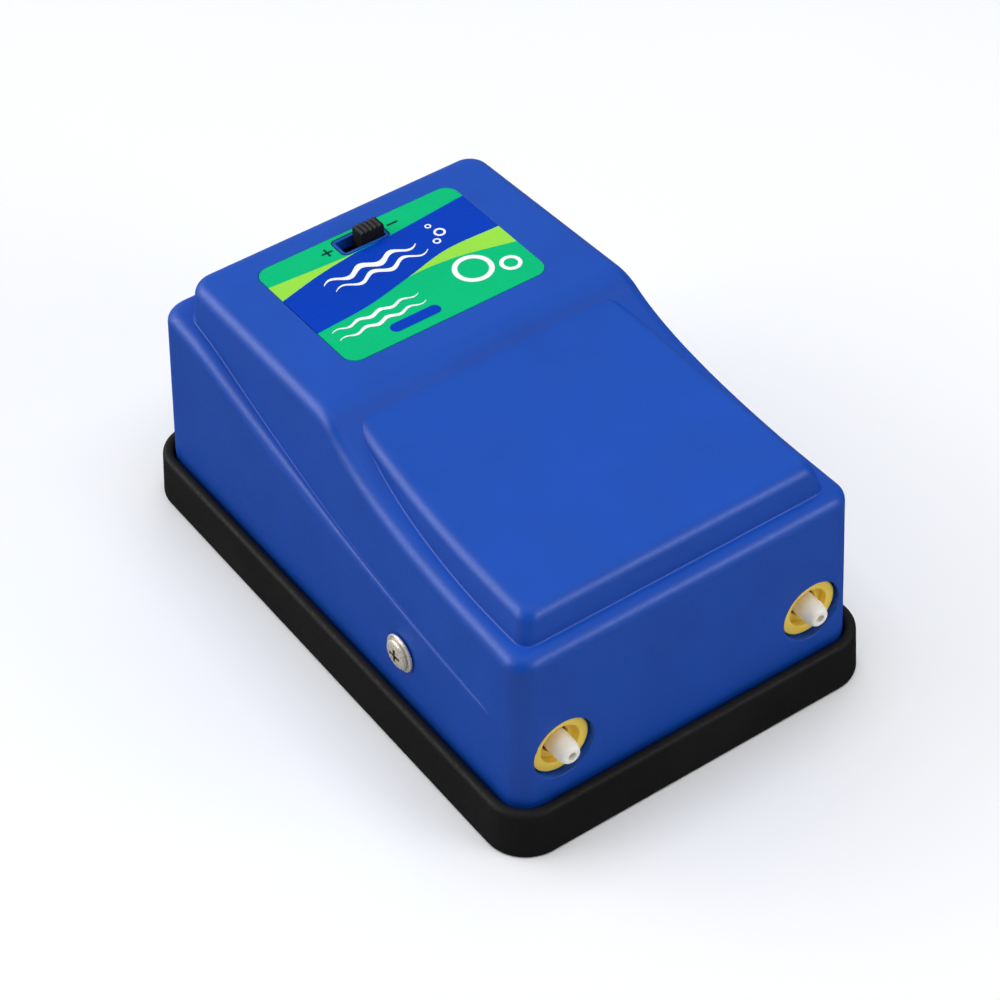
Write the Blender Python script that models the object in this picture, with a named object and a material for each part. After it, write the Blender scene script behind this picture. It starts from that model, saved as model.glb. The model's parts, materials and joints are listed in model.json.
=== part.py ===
"""Twin-outlet aquarium air pump with a vibrating-arm magnetic drive.

Frame: the underside of the rubber base stands on z = 0 with its middle at the origin. The
outlets face -Y, +X is the pump's other side and +Z is up. Lengths below are in millimetres
and mesh points are scaled to metres as they are made.
"""

import math
from dataclasses import dataclass
from typing import Callable

import bmesh
import bpy
import numpy as np
from mathutils import Vector

MM = 0.001
GAP = 0.3  # air left between pieces that touch on the real pump
CLEAR = 3.0  # how far a cutter runs past what it cuts

# Rubber base boot
BASE_WIDTH = 76.0
BASE_LENGTH = 115.0
BASE_HEIGHT = 9.9
BASE_CORNER = 7.8
BASE_DRAFT = 0.5
BASE_FLOOR = 2.5
RIM_THICKNESS = 2.05
INLET = (0.0, -30.0)  # middle of the air inlet in the underside
INLET_RADIUS = 5.0
CHANNEL_SIZE = (6.0, 1.0)  # width and depth of the air channel to the inlet

# Cover: plinth, upper body, top surface and pad
WALL = 2.2
COVER_BOTTOM = BASE_FLOOR + GAP
COVER_HALF_WIDTH = 34.95
COVER_HALF_LENGTH = 54.6
COVER_CORNER = 4.5
LEDGE_CORNER = 4.2
TOP_CORNER = 4.0
DATUM_Z = 10.0  # height at which the cover's half width and half length are taken
WALL_LEAN = 0.033  # lean of the plinth and of the front, in mm per mm of height
UPPER_HALF_WIDTH = 35.75  # the upper body's wall, carried down to y = 0, z = 0
UPPER_TAPER = 0.03
UPPER_LEAN = 0.082
FLANK_HOLLOW = 0.022  # set-in of the flank's foot for each millimetre forward of the middle
FLANK_EASE = 6.0
FLANK_END = 41.0
FLANK_RUN_OUT = 0.012
FLANK_TOP = 41.0
FLANK_HEIGHT = 14.0
UPPER_REAR = 52.9
LEDGE_MIDDLE_Z = 31.95
LEDGE_SLOPE = 0.19
LEDGE_CURVE = 0.0012
LEDGE_LEVEL_Y = 36.0  # behind this the ledge levels out
LEDGE_LEVELLING = 0.0095
LEDGE_RADIUS = 2.4
LEDGE_ROLL = (0.82, 1.7)  # largest edge rounding across and down, as shares of the ledge's width
SHOULDER_RADIUS = 2.4
STEP = 0.05  # narrowest ledge, where it fades out into the front

PANEL_REAR = (47.0, 50.2)
PANEL_FRONT = (7.0, 51.5)
BEND_CORNER = (4.2, 51.55)
BEND_END = (2.2, 50.05)
SLOPE_HANDLES = ((-7.1, 43.3), (-29.0, 41.7))
SLOPE_END = (-40.0, 41.7)

PAD_HALF_WIDTH = 29.05  # at its front; the sides curve in towards the rear
PAD_FLARE = 0.00105
PAD_LEAN = 0.27
PAD_REAR_Y = 6.5
PAD_FRONT_Y = -49.0
PAD_CORNER = 2.6
PAD_Z = 47.25  # the pad is level at the front and sweeps up behind PAD_LEVEL_Y
PAD_LEVEL_Y = -36.0
PAD_SWEEP = 0.0017
PAD_RADIUS = 1.8

# Label and switch, in the frame of the tilted top panel
LABEL_SIZE = (41.0, 30.5)
LABEL_CENTRE_Y = 27.5
LABEL_CORNER = 2.6
LABEL_THICKNESS = 0.4
SLOT_SIZE = (8.5, 3.5)
SLOT_CENTRE = (-0.5, 39.5)
SLOT_CORNER = 0.35
SLOT_LIP = 0.5
KNOB_SIZE = (4.8, 2.8)
KNOB_HEIGHT = 2.3
KNOB_TRAVEL = 3.4
KNOB_RIDGES = 5
KNOB_GROOVE = 0.42
SWITCH_HALF = (8.0, 3.4, 4.4)  # half length, half width and full depth
TERMINAL_PITCH = 5.0
TERMINAL_LENGTH = 3.5

# Outlets and side screws
OUTLET_X = 25.6
AXIS_Z = 19.3
OUTLET_HOLE_RADIUS = 5.9
COLLAR_RADIUS = 5.6
COLLAR_BORE = 3.8
COLLAR_FACE_Y = -53.2
COLLAR_DEPTH = 1.4
NOZZLE_TIP_Y = -56.5
NOZZLE_RADIUS = 2.15
NOZZLE_ROOT_RADIUS = 2.65
NOZZLE_BORE = 0.8
SCREW_Y = -21.25
WASHER_RADIUS = 3.5
WASHER_BORE = 1.8
WASHER_THICKNESS = 0.5
SIDE_SCREW_HEAD = (2.8, 0.9)  # radius and height
SIDE_SCREW_LENGTH = 8.6
STRAP_SCREW_HEAD = (2.6, 1.9)
SCREW_SHANK = 1.4
SCREW_HOLE_RADIUS = 1.7
BOSS_HOLE_RADIUS = 1.75
CROSS_SIZE = (2.9, 0.64)  # length and width of the recess's arms
CROSS_DEPTH = 0.6

# Supply cord's bush in the rear wall
CORD_Z = 20.0
GROMMET_WAIST = 4.0
GROMMET_BORE = 2.2

# Chassis plate and air filter
CHASSIS_BOTTOM = BASE_FLOOR + GAP
CHASSIS_TOP = 5.0
SEAT_RADIUS = 10.0
SEAT_FLOOR = 4.0
SEAT_TOP = 8.5
FELT_RADIUS = 8.2
FELT_THICKNESS = 3.2
POST_HALF_WIDTH = 4.4
POST_Y = (-48.2, -40.4)
POST_TOP = 12.6
HINGE_TOP = 26.0

# Pump heads and rocker arms; the X values are distances out from the middle plane
HEAD_FACE_X = 20.3
HEAD_BACK_X = 30.4
HEAD_Y = (-36.0, -6.5)
HEAD_Z = (5.3, 33.3)
HEAD_CORNER = 2.0
CHAMBER_RADIUS = 10.0
CHAMBER_DEPTH = 2.4
OUTLET_PORT_Y = -28.6
INTAKE_PORT_Y = -13.9
PORT_RADIUS = 1.6
PASSAGE_X = 28.2
POCKET_X = 25.4
POCKET_Y = (-29.6, -12.9)
POCKET_HALF = 3.6
POCKET_Z = (11.3, 22.6)
PLATE_TOP = 23.7
PLATE_BACK_X = 32.0
FLAP_RADIUS = 2.2
FLAP_THICKNESS = 0.6
DIAPHRAGM_RADIUS = 13.0
STUD_RADIUS = 1.4
STUD_LENGTH = 10.7
STUD_HOLE_RADIUS = 1.7
NUT_RADIUS = 3.1
NUT_THICKNESS = 2.3
ARM_X = 14.0
ARM_REAR_X = 17.0
ARM_CRANK_Y = (-8.0, 2.0)
ARM_END_Y = 33.0
ARM_THICKNESS = 1.6
ARM_HALF_HEIGHT = 5.0
HINGE_Y = -44.0
MAGNET_SIZE = (15.0, 13.0, 3.0)

# Coil, its core and strap
COIL_Y = 24.0
BOBBIN_HALF = 13.0
BOBBIN_HALF_LENGTH = 7.9
BOBBIN_WALL = 1.0
WINDING_HALF = 12.0
CORE_HALF_WIDTH = 6.5
POLE_HALF_WIDTH = 11.0
POLE_FACE_X = 11.2
STACK_HALF_HEIGHT = 7.0
STRAP_HALF_WIDTH = 6.5
STRAP_THICKNESS = 1.2
STRAP_Y = (6.2, 41.8)  # its two screws

# Wires: the points that each one passes through
WIRE_RADIUS = 0.6
WIRE_SPACING = 1.8
WIRE_ROUTES = {
    "supply_wire_coil": ("wire_white", [(1.2, 47.0, 19.6), (2.0, 44.5, 19.6), (3.0, 43.0, 24.0),
                                        (4.5, 42.0, 31.0), (6.0, 38.5, 35.5), (10.0, 33.0, 35.5),
                                        (9.6, 30.0, 33.8)]),
    "supply_wire_switch": ("wire_red", [(-1.2, 47.0, 20.4), (-1.8, 45.0, 21.5), (-2.0, 44.5, 27.0),
                                        (-1.2, 43.5, 33.0), (-0.5, 40.2, 36.5), (-0.5, 39.8, 38.4)]),
    "tap_wire_high": ("wire_red", [(-5.5, 39.6, 38.4), (-5.8, 38.6, 36.6), (-8.2, 34.0, 35.6),
                                   (-9.6, 29.0, 35.2), (-9.4, 27.0, 33.6)]),
    "tap_wire_low": ("wire_white", [(4.5, 39.6, 38.4), (4.6, 37.6, 37.4), (2.0, 33.0, 37.6),
                                    (-4.0, 26.0, 37.2), (-9.0, 21.0, 35.4), (-9.4, 19.4, 33.6)]),
}

# Fineness of the meshes
SIDE_STATIONS = (-47, -41, -34, -27, -20, -14, -9, -5, -2, 0.5, 2.2, 3.6, 4.8, 5.9, 7, 27, 36, 43)
PAD_STATIONS = (-45, -34, -25, -17, -10, -5, -2, 0.5, 3)
FILLET_STEPS = 3
ROUND = 24  # sides of a round piece
FINE_ROUND = 40
SMOOTH_ANGLE = math.radians(32)

COLOURS = {
    "blue_abs": ((0.010, 0.075, 0.52), 0.42, 0.0),
    "black_rubber": ((0.018, 0.017, 0.017), 0.75, 0.0),
    "label_print": ((0.0, 0.50, 0.25), 0.35, 0.0),
    "black_plastic": ((0.02, 0.02, 0.02), 0.5, 0.0),
    "yellow_rubber": ((0.80, 0.50, 0.06), 0.5, 0.0),
    "white_plastic": ((0.80, 0.79, 0.76), 0.4, 0.0),
    "nickel": ((0.72, 0.69, 0.63), 0.22, 1.0),
    "steel": ((0.55, 0.56, 0.58), 0.35, 1.0),
    "core_steel": ((0.20, 0.20, 0.22), 0.45, 1.0),
    "copper": ((0.72, 0.30, 0.14), 0.35, 1.0),
    "magnet": ((0.09, 0.09, 0.10), 0.4, 0.6),
    "grey_plastic": ((0.16, 0.17, 0.18), 0.55, 0.0),
    "nylon": ((0.62, 0.60, 0.52), 0.45, 0.0),
    "soft_rubber": ((0.05, 0.05, 0.055), 0.7, 0.0),
    "felt": ((0.70, 0.70, 0.66), 0.95, 0.0),
    "brass": ((0.78, 0.57, 0.22), 0.3, 1.0),
    "wire_red": ((0.45, 0.02, 0.02), 0.45, 0.0),
    "wire_white": ((0.75, 0.75, 0.72), 0.45, 0.0),
}


# ---------------------------------------------------------------- helpers


def clear_scene():
    for obj in list(bpy.data.objects):
        bpy.data.objects.remove(obj, do_unlink=True)


def material(name):
    found = bpy.data.materials.get(name)
    if found:
        return found
    colour, roughness, metallic = COLOURS[name]
    made = bpy.data.materials.new(name)
    made.use_nodes = True
    shader = made.node_tree.nodes["Principled BSDF"]
    shader.inputs["Base Color"].default_value = (*colour, 1.0)
    shader.inputs["Roughness"].default_value = roughness
    shader.inputs["Metallic"].default_value = metallic
    return made


def add(name, points, faces, finish, parent=None, pivot=(0.0, 0.0, 0.0)):
    """Make an object from points in millimetres; pivot becomes its origin."""
    middle = Vector(pivot) * MM
    mesh = bpy.data.meshes.new(name)
    mesh.from_pydata([Vector(p) * MM - middle for p in points], [], faces)
    bm = bmesh.new()
    bm.from_mesh(mesh)
    bmesh.ops.recalc_face_normals(bm, faces=bm.faces)
    bm.to_mesh(mesh)
    bm.free()
    mesh.shade_smooth()
    mesh.set_sharp_from_angle(angle=SMOOTH_ANGLE)
    obj = bpy.data.objects.new(name, mesh)
    bpy.context.scene.collection.objects.link(obj)
    obj.location = middle
    obj.parent = parent
    if finish:
        mesh.materials.append(material(finish))
    return obj


def hide_helper(obj):
    obj.hide_render = True
    obj.display_type = "WIRE"
    return obj


def boolean(obj, other, operation="DIFFERENCE"):
    """Cut other from obj, or join it on; other becomes a hidden helper."""
    modifier = obj.modifiers.new(operation.title() + "_" + other.name, "BOOLEAN")
    modifier.operation = operation
    modifier.object = hide_helper(other)
    return obj


def prism(name, outline, axis, low, high, finish=None, **place):
    """Extrude a closed 2-D outline along an axis, from low to high.

    The outline is (y, z) along X, (x, z) along Y and (x, y) along Z.
    """
    order = {"X": (2, 0, 1), "Y": (0, 2, 1), "Z": (0, 1, 2)}[axis]
    count = len(outline)
    points = []
    for level in (low, high):
        for a, b in outline:
            values = (a, b, level)
            points.append(tuple(values[i] for i in order))
    faces = [list(range(count)), list(range(2 * count - 1, count - 1, -1))]
    for i in range(count):
        j = (i + 1) % count
        faces.append((i, j, count + j, count + i))
    return add(name, points, faces, finish, **place)


def box(name, low, high, finish=None, **place):
    outline = [(low[0], low[1]), (high[0], low[1]), (high[0], high[1]), (low[0], high[1])]
    return prism(name, outline, "Z", low[2], high[2], finish, **place)


def rounded_rectangle(centre, size, radius, steps=4):
    """Corner points of a rounded rectangle, anticlockwise."""
    half = (size[0] / 2 - radius, size[1] / 2 - radius)
    outline = []
    for quarter, (sx, sy) in enumerate(((1, 1), (-1, 1), (-1, -1), (1, -1))):
        for step in range(steps + 1):
            angle = math.pi / 2 * (quarter + step / steps)
            x = centre[0] + sx * half[0] + radius * math.cos(angle)
            y = centre[1] + sy * half[1] + radius * math.sin(angle)
            outline.append((x, y))
    return outline


def circle(centre, radius, sides=ROUND):
    outline = []
    for i in range(sides):
        angle = 2 * math.pi * i / sides
        outline.append((centre[0] + radius * math.cos(angle), centre[1] + radius * math.sin(angle)))
    return outline


def turned(name, profile, axis, centre, direction=1, finish=None, sides=ROUND, **place):
    """Turn a closed profile of (radius, height) points about an axis through centre.

    Heights are counted from centre along the axis, times direction. A profile point on the
    axis becomes a single vertex.
    """
    frames = {
        "X": (Vector((1, 0, 0)), Vector((0, 1, 0)), Vector((0, 0, 1))),
        "Y": (Vector((0, 1, 0)), Vector((0, 0, 1)), Vector((1, 0, 0))),
        "Z": (Vector((0, 0, 1)), Vector((1, 0, 0)), Vector((0, 1, 0))),
    }
    along, across, up = frames[axis]
    points = []
    loops = []
    for radius, height in profile:
        middle = Vector(centre) + along * height * direction
        if radius == 0:
            loops.append([len(points)] * sides)
            points.append(middle)
            continue
        loops.append(list(range(len(points), len(points) + sides)))
        for i in range(sides):
            angle = 2 * math.pi * i / sides
            points.append(middle + (across * math.cos(angle) + up * math.sin(angle)) * radius)
    faces = []
    for loop, following in zip(loops, loops[1:] + loops[:1]):
        for i in range(sides):
            j = (i + 1) % sides
            corners = list(dict.fromkeys((loop[i], loop[j], following[j], following[i])))
            if len(corners) > 2:
                faces.append(corners)
    return add(name, points, faces, finish, **place)


def rod(name, axis, centre, radius, low, high, finish=None, sides=ROUND, **place):
    return turned(name, [(0, low), (radius, low), (radius, high), (0, high)], axis, centre,
                  1, finish, sides, **place)


def arc(centre, radius, start, end, steps):
    """Points on an arc, with angles in degrees."""
    angles = [math.radians(start + (end - start) * i / steps) for i in range(steps + 1)]
    return [(centre[0] + radius * math.cos(a), centre[1] + radius * math.sin(a)) for a in angles]


# ---------------------------------------------------------------- leaning bodies made of rings


@dataclass
class Ring:
    """One loop round a body: its height, walls and corner radius, as functions of y or z."""

    height: Callable
    half_width: Callable
    front: Callable
    rear: Callable
    corner: float


def ring_points(ring, stations, arc_steps):
    """The right side from front to rear, then its mirror image from rear to front."""
    quarter = [math.pi / 2 * i / arc_steps for i in range(arc_steps + 1)]
    marks = [("front", angle) for angle in quarter]
    marks += [("side", y) for y in stations]
    marks += [("rear", angle) for angle in reversed(quarter)]
    right = []
    for kind, value in marks:
        y = {"front": stations[0], "side": value, "rear": stations[-1]}[kind]
        back = 0.0
        for _ in range(5):
            z = ring.height(y)
            if kind == "front":
                y = ring.front(z) + ring.corner * (1 - math.cos(value))
            if kind == "rear":
                y = ring.rear(z) - ring.corner * (1 - math.cos(value))
        if kind != "side":
            back = ring.corner * (1 - math.sin(value))
        right.append((ring.half_width(y, z) - back, y, z))
    return right + [(-x, y, z) for x, y, z in reversed(right)]


def skin_faces(first, count, rings):
    """Quads between each ring and the next."""
    faces = []
    for ring in range(rings - 1):
        for i in range(count):
            j = (i + 1) % count
            low = first + ring * count
            faces.append((low + i, low + j, low + count + j, low + count + i))
    return faces


def strip_cap(first, count):
    """A cap of strips across X, which follows a ring whose height changes along Y."""
    half = count // 2
    return [
        (first + i, first + i + 1, first + count - 2 - i, first + count - 1 - i)
        for i in range(half - 1)
    ]


def ring_body(name, rings, stations, arc_steps, finish=None):
    loops = [ring_points(ring, stations, arc_steps) for ring in rings]
    count = len(loops[0])
    points = [p for loop in loops for p in loop]
    faces = skin_faces(0, count, len(loops))
    faces += strip_cap(0, count) + strip_cap(count * (len(loops) - 1), count)
    return add(name, points, faces, finish)


def ring_shell(name, outer, inner, stations, arc_steps, finish=None):
    """A shell open at its bottom: outer and inner skins joined along their first rings."""
    outer_loops = [ring_points(ring, stations, arc_steps) for ring in outer]
    inner_loops = [ring_points(ring, stations, arc_steps) for ring in inner]
    count = len(outer_loops[0])
    start = count * len(outer_loops)
    points = [p for loop in outer_loops + inner_loops for p in loop]
    faces = skin_faces(0, count, len(outer_loops)) + strip_cap(start - count, count)
    faces += skin_faces(start, count, len(inner_loops))
    faces += strip_cap(start + count * (len(inner_loops) - 1), count)
    for i in range(count):
        j = (i + 1) % count
        faces.append((i, j, start + j, start + i))
    return add(name, points, faces, finish)


# ---------------------------------------------------------------- shape of the cover


def bezier(points, steps):
    """Points on a Bezier curve of any degree."""
    degree = len(points) - 1
    made = []
    for step in range(steps + 1):
        t = step / steps
        weights = [math.comb(degree, k) * t**k * (1 - t) ** (degree - k) for k in range(degree + 1)]
        made.append(tuple(sum(w * p[axis] for w, p in zip(weights, points)) for axis in (0, 1)))
    return made


def top_profile():
    """(y, z) down the middle of the top, from the level front to the rear of the panel."""
    bend = bezier((PANEL_FRONT, BEND_CORNER, BEND_END), 24)
    slope = bezier((BEND_END, *SLOPE_HANDLES, SLOPE_END), 60)
    line = [PANEL_REAR] + bend + slope[1:] + [(-COVER_HALF_LENGTH, SLOPE_END[1])]
    return np.array(line[::-1])


TOP = top_profile()


def top_z(y):
    """Height of the top; the panel's line runs on past its rear end."""
    if y > PANEL_REAR[0]:
        tilt = (PANEL_REAR[1] - PANEL_FRONT[1]) / (PANEL_REAR[0] - PANEL_FRONT[0])
        return PANEL_REAR[1] + tilt * (y - PANEL_REAR[0])
    return float(np.interp(y, TOP[:, 0], TOP[:, 1]))


def ledge_z(y):
    behind = max(y - LEDGE_LEVEL_Y, 0.0)
    return LEDGE_MIDDLE_Z + LEDGE_SLOPE * y + LEDGE_CURVE * y * y - LEDGE_LEVELLING * behind**2


def pad_z(y):
    return PAD_Z + PAD_SWEEP * max(y - PAD_LEVEL_Y, 0.0) ** 2


def pad_half_width(y):
    return PAD_HALF_WIDTH - PAD_FLARE * (y - PAD_FRONT_Y) ** 2


def above_rim(z):
    """Height above the boot's rim; below it the cover's walls are upright."""
    return max(z - DATUM_Z, 0.0)


def plinth_half_width(z):
    return COVER_HALF_WIDTH - WALL_LEAN * above_rim(z)


def cover_front(z):
    return -COVER_HALF_LENGTH + WALL_LEAN * above_rim(z)


def plinth_rear(z):
    return COVER_HALF_LENGTH - WALL_LEAN * above_rim(z)


def flank_hollow(y, z):
    """How far the flank is set in at its foot, which carries the ledge on to the front."""
    forward = max(-y, 0.0)
    share = min(max((FLANK_TOP - z) / FLANK_HEIGHT, 0.0), 1.0)
    depth = FLANK_HOLLOW * forward**2 / (forward + FLANK_EASE)
    depth -= FLANK_RUN_OUT * max(forward - FLANK_END, 0.0) ** 2
    return share * max(depth, 0.0)


def upper_half_width(y, z):
    wall = UPPER_HALF_WIDTH - UPPER_TAPER * y - UPPER_LEAN * z - flank_hollow(y, z)
    return min(wall, plinth_half_width(z) - STEP)


def upper_rear(z):
    return min(UPPER_REAR - UPPER_LEAN * z, plinth_rear(z) - STEP)


def ledge_roll(y):
    """The ledge's edge rounding across and down, which shrinks with the ledge to the front."""
    z = ledge_z(y)
    width = plinth_half_width(z) - upper_half_width(y, z)
    return [min(LEDGE_RADIUS, share * width) for share in LEDGE_ROLL]


def plinth_ring(height, inset=0.0, corner=COVER_CORNER):
    return Ring(
        height,
        lambda y, z: plinth_half_width(z) - inset,
        lambda z: cover_front(z) + inset,
        lambda z: plinth_rear(z) - inset,
        max(corner - inset, 1.0),
    )


def upper_ring(height, inset=0.0, corner=TOP_CORNER):
    return Ring(
        height,
        lambda y, z: upper_half_width(y, z) - inset,
        lambda z: cover_front(z) + STEP + inset,
        lambda z: upper_rear(z) - inset,
        max(corner - inset, 1.0),
    )


def ledge_ring(angle):
    """A ring on the rounded outer edge of the ledge."""
    sink = 1 - math.sin(angle)
    inset = 1 - math.cos(angle)
    return Ring(
        lambda y: ledge_z(y) - ledge_roll(y)[1] * sink,
        lambda y, z: plinth_half_width(z) - ledge_roll(y)[0] * inset,
        lambda z: cover_front(z) + STEP * 0.5 * inset,
        lambda z: plinth_rear(z) - LEDGE_RADIUS * inset,
        LEDGE_CORNER,
    )


def shoulder_ring(angle):
    sink = SHOULDER_RADIUS * (1 - math.sin(angle))
    return upper_ring(lambda y: top_z(y) - sink, SHOULDER_RADIUS * (1 - math.cos(angle)))


def pad_ring(height, inset=0.0):
    """A ring of the pad, whose walls lean out below its top plane."""
    return Ring(
        height,
        lambda y, z: pad_half_width(y) + PAD_LEAN * (pad_z(y) - z) - inset,
        lambda z: PAD_FRONT_Y - PAD_LEAN * (pad_z(PAD_FRONT_Y) - z) + inset,
        lambda z: PAD_REAR_Y - inset,
        max(PAD_CORNER - inset, 0.8),
    )


def quarter_angles(steps):
    return [math.pi / 2 * i / steps for i in range(1, steps + 1)]


# ---------------------------------------------------------------- shape of the cover: solids


def cover_shell():
    outer = [plinth_ring(lambda y: COVER_BOTTOM), plinth_ring(lambda y: DATUM_Z)]
    outer += [plinth_ring(lambda y: ledge_z(y) - ledge_roll(y)[1], corner=LEDGE_CORNER)]
    outer += [ledge_ring(angle) for angle in quarter_angles(FILLET_STEPS)]
    outer += [upper_ring(ledge_z, corner=LEDGE_CORNER)]
    outer += [upper_ring(lambda y: top_z(y) - SHOULDER_RADIUS)]
    outer += [shoulder_ring(angle) for angle in quarter_angles(FILLET_STEPS)]
    inner = [
        plinth_ring(lambda y: COVER_BOTTOM, WALL),
        plinth_ring(lambda y: ledge_z(y) - WALL, WALL),
        upper_ring(lambda y: ledge_z(y) - WALL + STEP, WALL),
        upper_ring(lambda y: top_z(y) - WALL, WALL),
    ]
    return ring_shell("cover", outer, inner, SIDE_STATIONS, FILLET_STEPS, "blue_abs")


def pad_body():
    """The raised pad, with its underside buried halfway into the cover's wall."""
    buried = WALL / 2
    rings = [pad_ring(lambda y: min(top_z(y), pad_z(y)) - buried)]
    for angle in [0.0] + quarter_angles(FILLET_STEPS):
        sink = PAD_RADIUS * (1 - math.sin(angle))
        inset = PAD_RADIUS * (1 - math.cos(angle))
        rings.append(
            pad_ring(lambda y, s=sink: max(pad_z(y) - s, top_z(y) - buried + STEP), inset)
        )
    return ring_body("pad_form", rings, PAD_STATIONS, FILLET_STEPS)


def pad_hollow():
    """The space under the pad, which keeps its roof as thick as the cover's walls."""
    reach = 2.0
    clear = 0.02
    rings = [
        pad_ring(lambda y: top_z(y) - WALL - reach, WALL),
        pad_ring(lambda y: max(pad_z(y), top_z(y)) - WALL - clear, WALL),
    ]
    return ring_body("pad_hollow", rings, PAD_STATIONS[:-3], FILLET_STEPS)


def top_frame():
    """The frame of the tilted panel: its origin on the panel at the middle of the label."""
    frame = bpy.data.objects.new("top_panel_frame", None)
    bpy.context.scene.collection.objects.link(frame)
    frame.location = Vector((0, LABEL_CENTRE_Y, top_z(LABEL_CENTRE_Y))) * MM
    rise = PANEL_FRONT[1] - PANEL_REAR[1]
    run = PANEL_REAR[0] - PANEL_FRONT[0]
    frame.rotation_euler = (-math.atan2(rise, run), 0, 0)
    return frame


def slot_outline(grow):
    centre = (SLOT_CENTRE[0], SLOT_CENTRE[1] - LABEL_CENTRE_Y)
    size = (SLOT_SIZE[0] + 2 * grow, SLOT_SIZE[1] + 2 * grow)
    return rounded_rectangle(centre, size, SLOT_CORNER + grow, 2)


def make_cover(frame):
    cover = cover_shell()
    boolean(cover, pad_body(), "UNION")
    boolean(cover, pad_hollow())
    recess_size = (LABEL_SIZE[0] + 2 * GAP, LABEL_SIZE[1] + 2 * GAP)
    recess = prism("label_recess", rounded_rectangle((0, 0), recess_size, LABEL_CORNER + GAP), "Z",
                   -LABEL_THICKNESS - GAP, CLEAR, parent=frame)
    island = prism("slot_lip", slot_outline(SLOT_LIP), "Z", -WALL / 2, 0, parent=frame)
    slot = prism("slot_cut", slot_outline(0), "Z", -WALL - CLEAR, CLEAR, parent=frame)
    boolean(cover, recess)
    boolean(cover, island, "UNION")
    boolean(cover, slot)
    for side in (-1, 1):
        outlet = rod("outlet_hole", "Y", (side * OUTLET_X, 0, AXIS_Z), OUTLET_HOLE_RADIUS,
                     -COVER_HALF_LENGTH - CLEAR, -COVER_HALF_LENGTH + WALL + CLEAR, sides=FINE_ROUND)
        boolean(cover, outlet)
        wall_x = sorted((side * (COVER_HALF_WIDTH - CLEAR - 1), side * (COVER_HALF_WIDTH + 2)))
        boolean(cover, rod("screw_hole", "X", (0, SCREW_Y, AXIS_Z), BOSS_HOLE_RADIUS, *wall_x))
    boolean(cover, rod("cord_hole", "Y", (0, 0, CORD_Z), GROMMET_WAIST,
                       COVER_HALF_LENGTH - WALL - CLEAR, COVER_HALF_LENGTH + CLEAR))
    return cover


# ---------------------------------------------------------------- base, chassis and filter


def base_ring(z, inset):
    radius = BASE_CORNER - inset
    size = (BASE_WIDTH - 2 * inset, BASE_LENGTH - 2 * inset)
    return [(x, y, z) for x, y in rounded_rectangle((0, 0), size, radius, 5)]


def make_base():
    """The rubber boot: a shallow tray with a rounded rim and an air channel underneath."""
    rim = RIM_THICKNESS / 2
    foot_edge = 0.5
    levels = [(0.0, foot_edge), (foot_edge, 0.0), (BASE_HEIGHT - rim, BASE_DRAFT)]
    for x, z in arc((BASE_DRAFT + rim, BASE_HEIGHT - rim), rim, 150, 0, 5):
        levels.append((z, x))
    levels.append((BASE_FLOOR, BASE_DRAFT + RIM_THICKNESS))
    loops = [base_ring(z, inset) for z, inset in levels]
    count = len(loops[0])
    points = [p for loop in loops for p in loop]
    faces = skin_faces(0, count, len(loops))
    last = count * (len(loops) - 1)
    faces += [list(range(count)), list(range(last, last + count))]
    base = add("base_boot", points, faces, "black_rubber")
    channel_half = CHANNEL_SIZE[0] / 2
    channel = box("boot_channel", (-channel_half, INLET[1] - channel_half, -CLEAR),
                  (BASE_WIDTH / 2 + CLEAR, INLET[1] + channel_half, CHANNEL_SIZE[1]))
    boolean(base, rod("boot_inlet", "Z", (*INLET, 0), INLET_RADIUS, -CLEAR, BASE_FLOOR + CLEAR))
    return boolean(base, channel)


def make_chassis():
    """The plate that closes the cover, with a filter seat, strap holes and hinge posts."""
    size = (2 * (COVER_HALF_WIDTH - WALL - GAP), 2 * (COVER_HALF_LENGTH - WALL - GAP))
    outline = rounded_rectangle((0, 0), size, COVER_CORNER - WALL + GAP, 3)
    chassis = prism("chassis_plate", outline, "Z", CHASSIS_BOTTOM, CHASSIS_TOP, "grey_plastic")
    low = CHASSIS_BOTTOM - CLEAR
    high = CHASSIS_TOP + CLEAR
    seat = rod("filter_seat", "Z", (*INLET, 0), SEAT_RADIUS, SEAT_FLOOR - 0.4, SEAT_TOP)
    boolean(chassis, seat, "UNION")
    boolean(chassis, rod("filter_well", "Z", (*INLET, 0), FELT_RADIUS + GAP, SEAT_FLOOR,
                         SEAT_TOP + CLEAR, sides=FINE_ROUND))
    boolean(chassis, rod("filter_inlet", "Z", (*INLET, 0), INLET_RADIUS, low, high))
    for y in STRAP_Y:
        boolean(chassis, rod("strap_hole", "Z", (0, y, 0), SCREW_HOLE_RADIUS, low, high))
    for side in (-1, 1):
        x = side * ARM_X
        post = box("hinge_post", (x - POST_HALF_WIDTH, POST_Y[0], CHASSIS_TOP - 0.5),
                   (x + POST_HALF_WIDTH, POST_Y[1], POST_TOP))
        boolean(chassis, post, "UNION")
    return chassis


def make_filter():
    edge = 0.4
    bottom = SEAT_FLOOR + GAP
    profile = [(0, 0), (FELT_RADIUS - edge, 0), (FELT_RADIUS, edge),
               (FELT_RADIUS, FELT_THICKNESS - edge), (FELT_RADIUS - edge, FELT_THICKNESS),
               (0, FELT_THICKNESS)]
    return turned("felt_filter", profile, "Z", (*INLET, bottom), 1, "felt")


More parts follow.
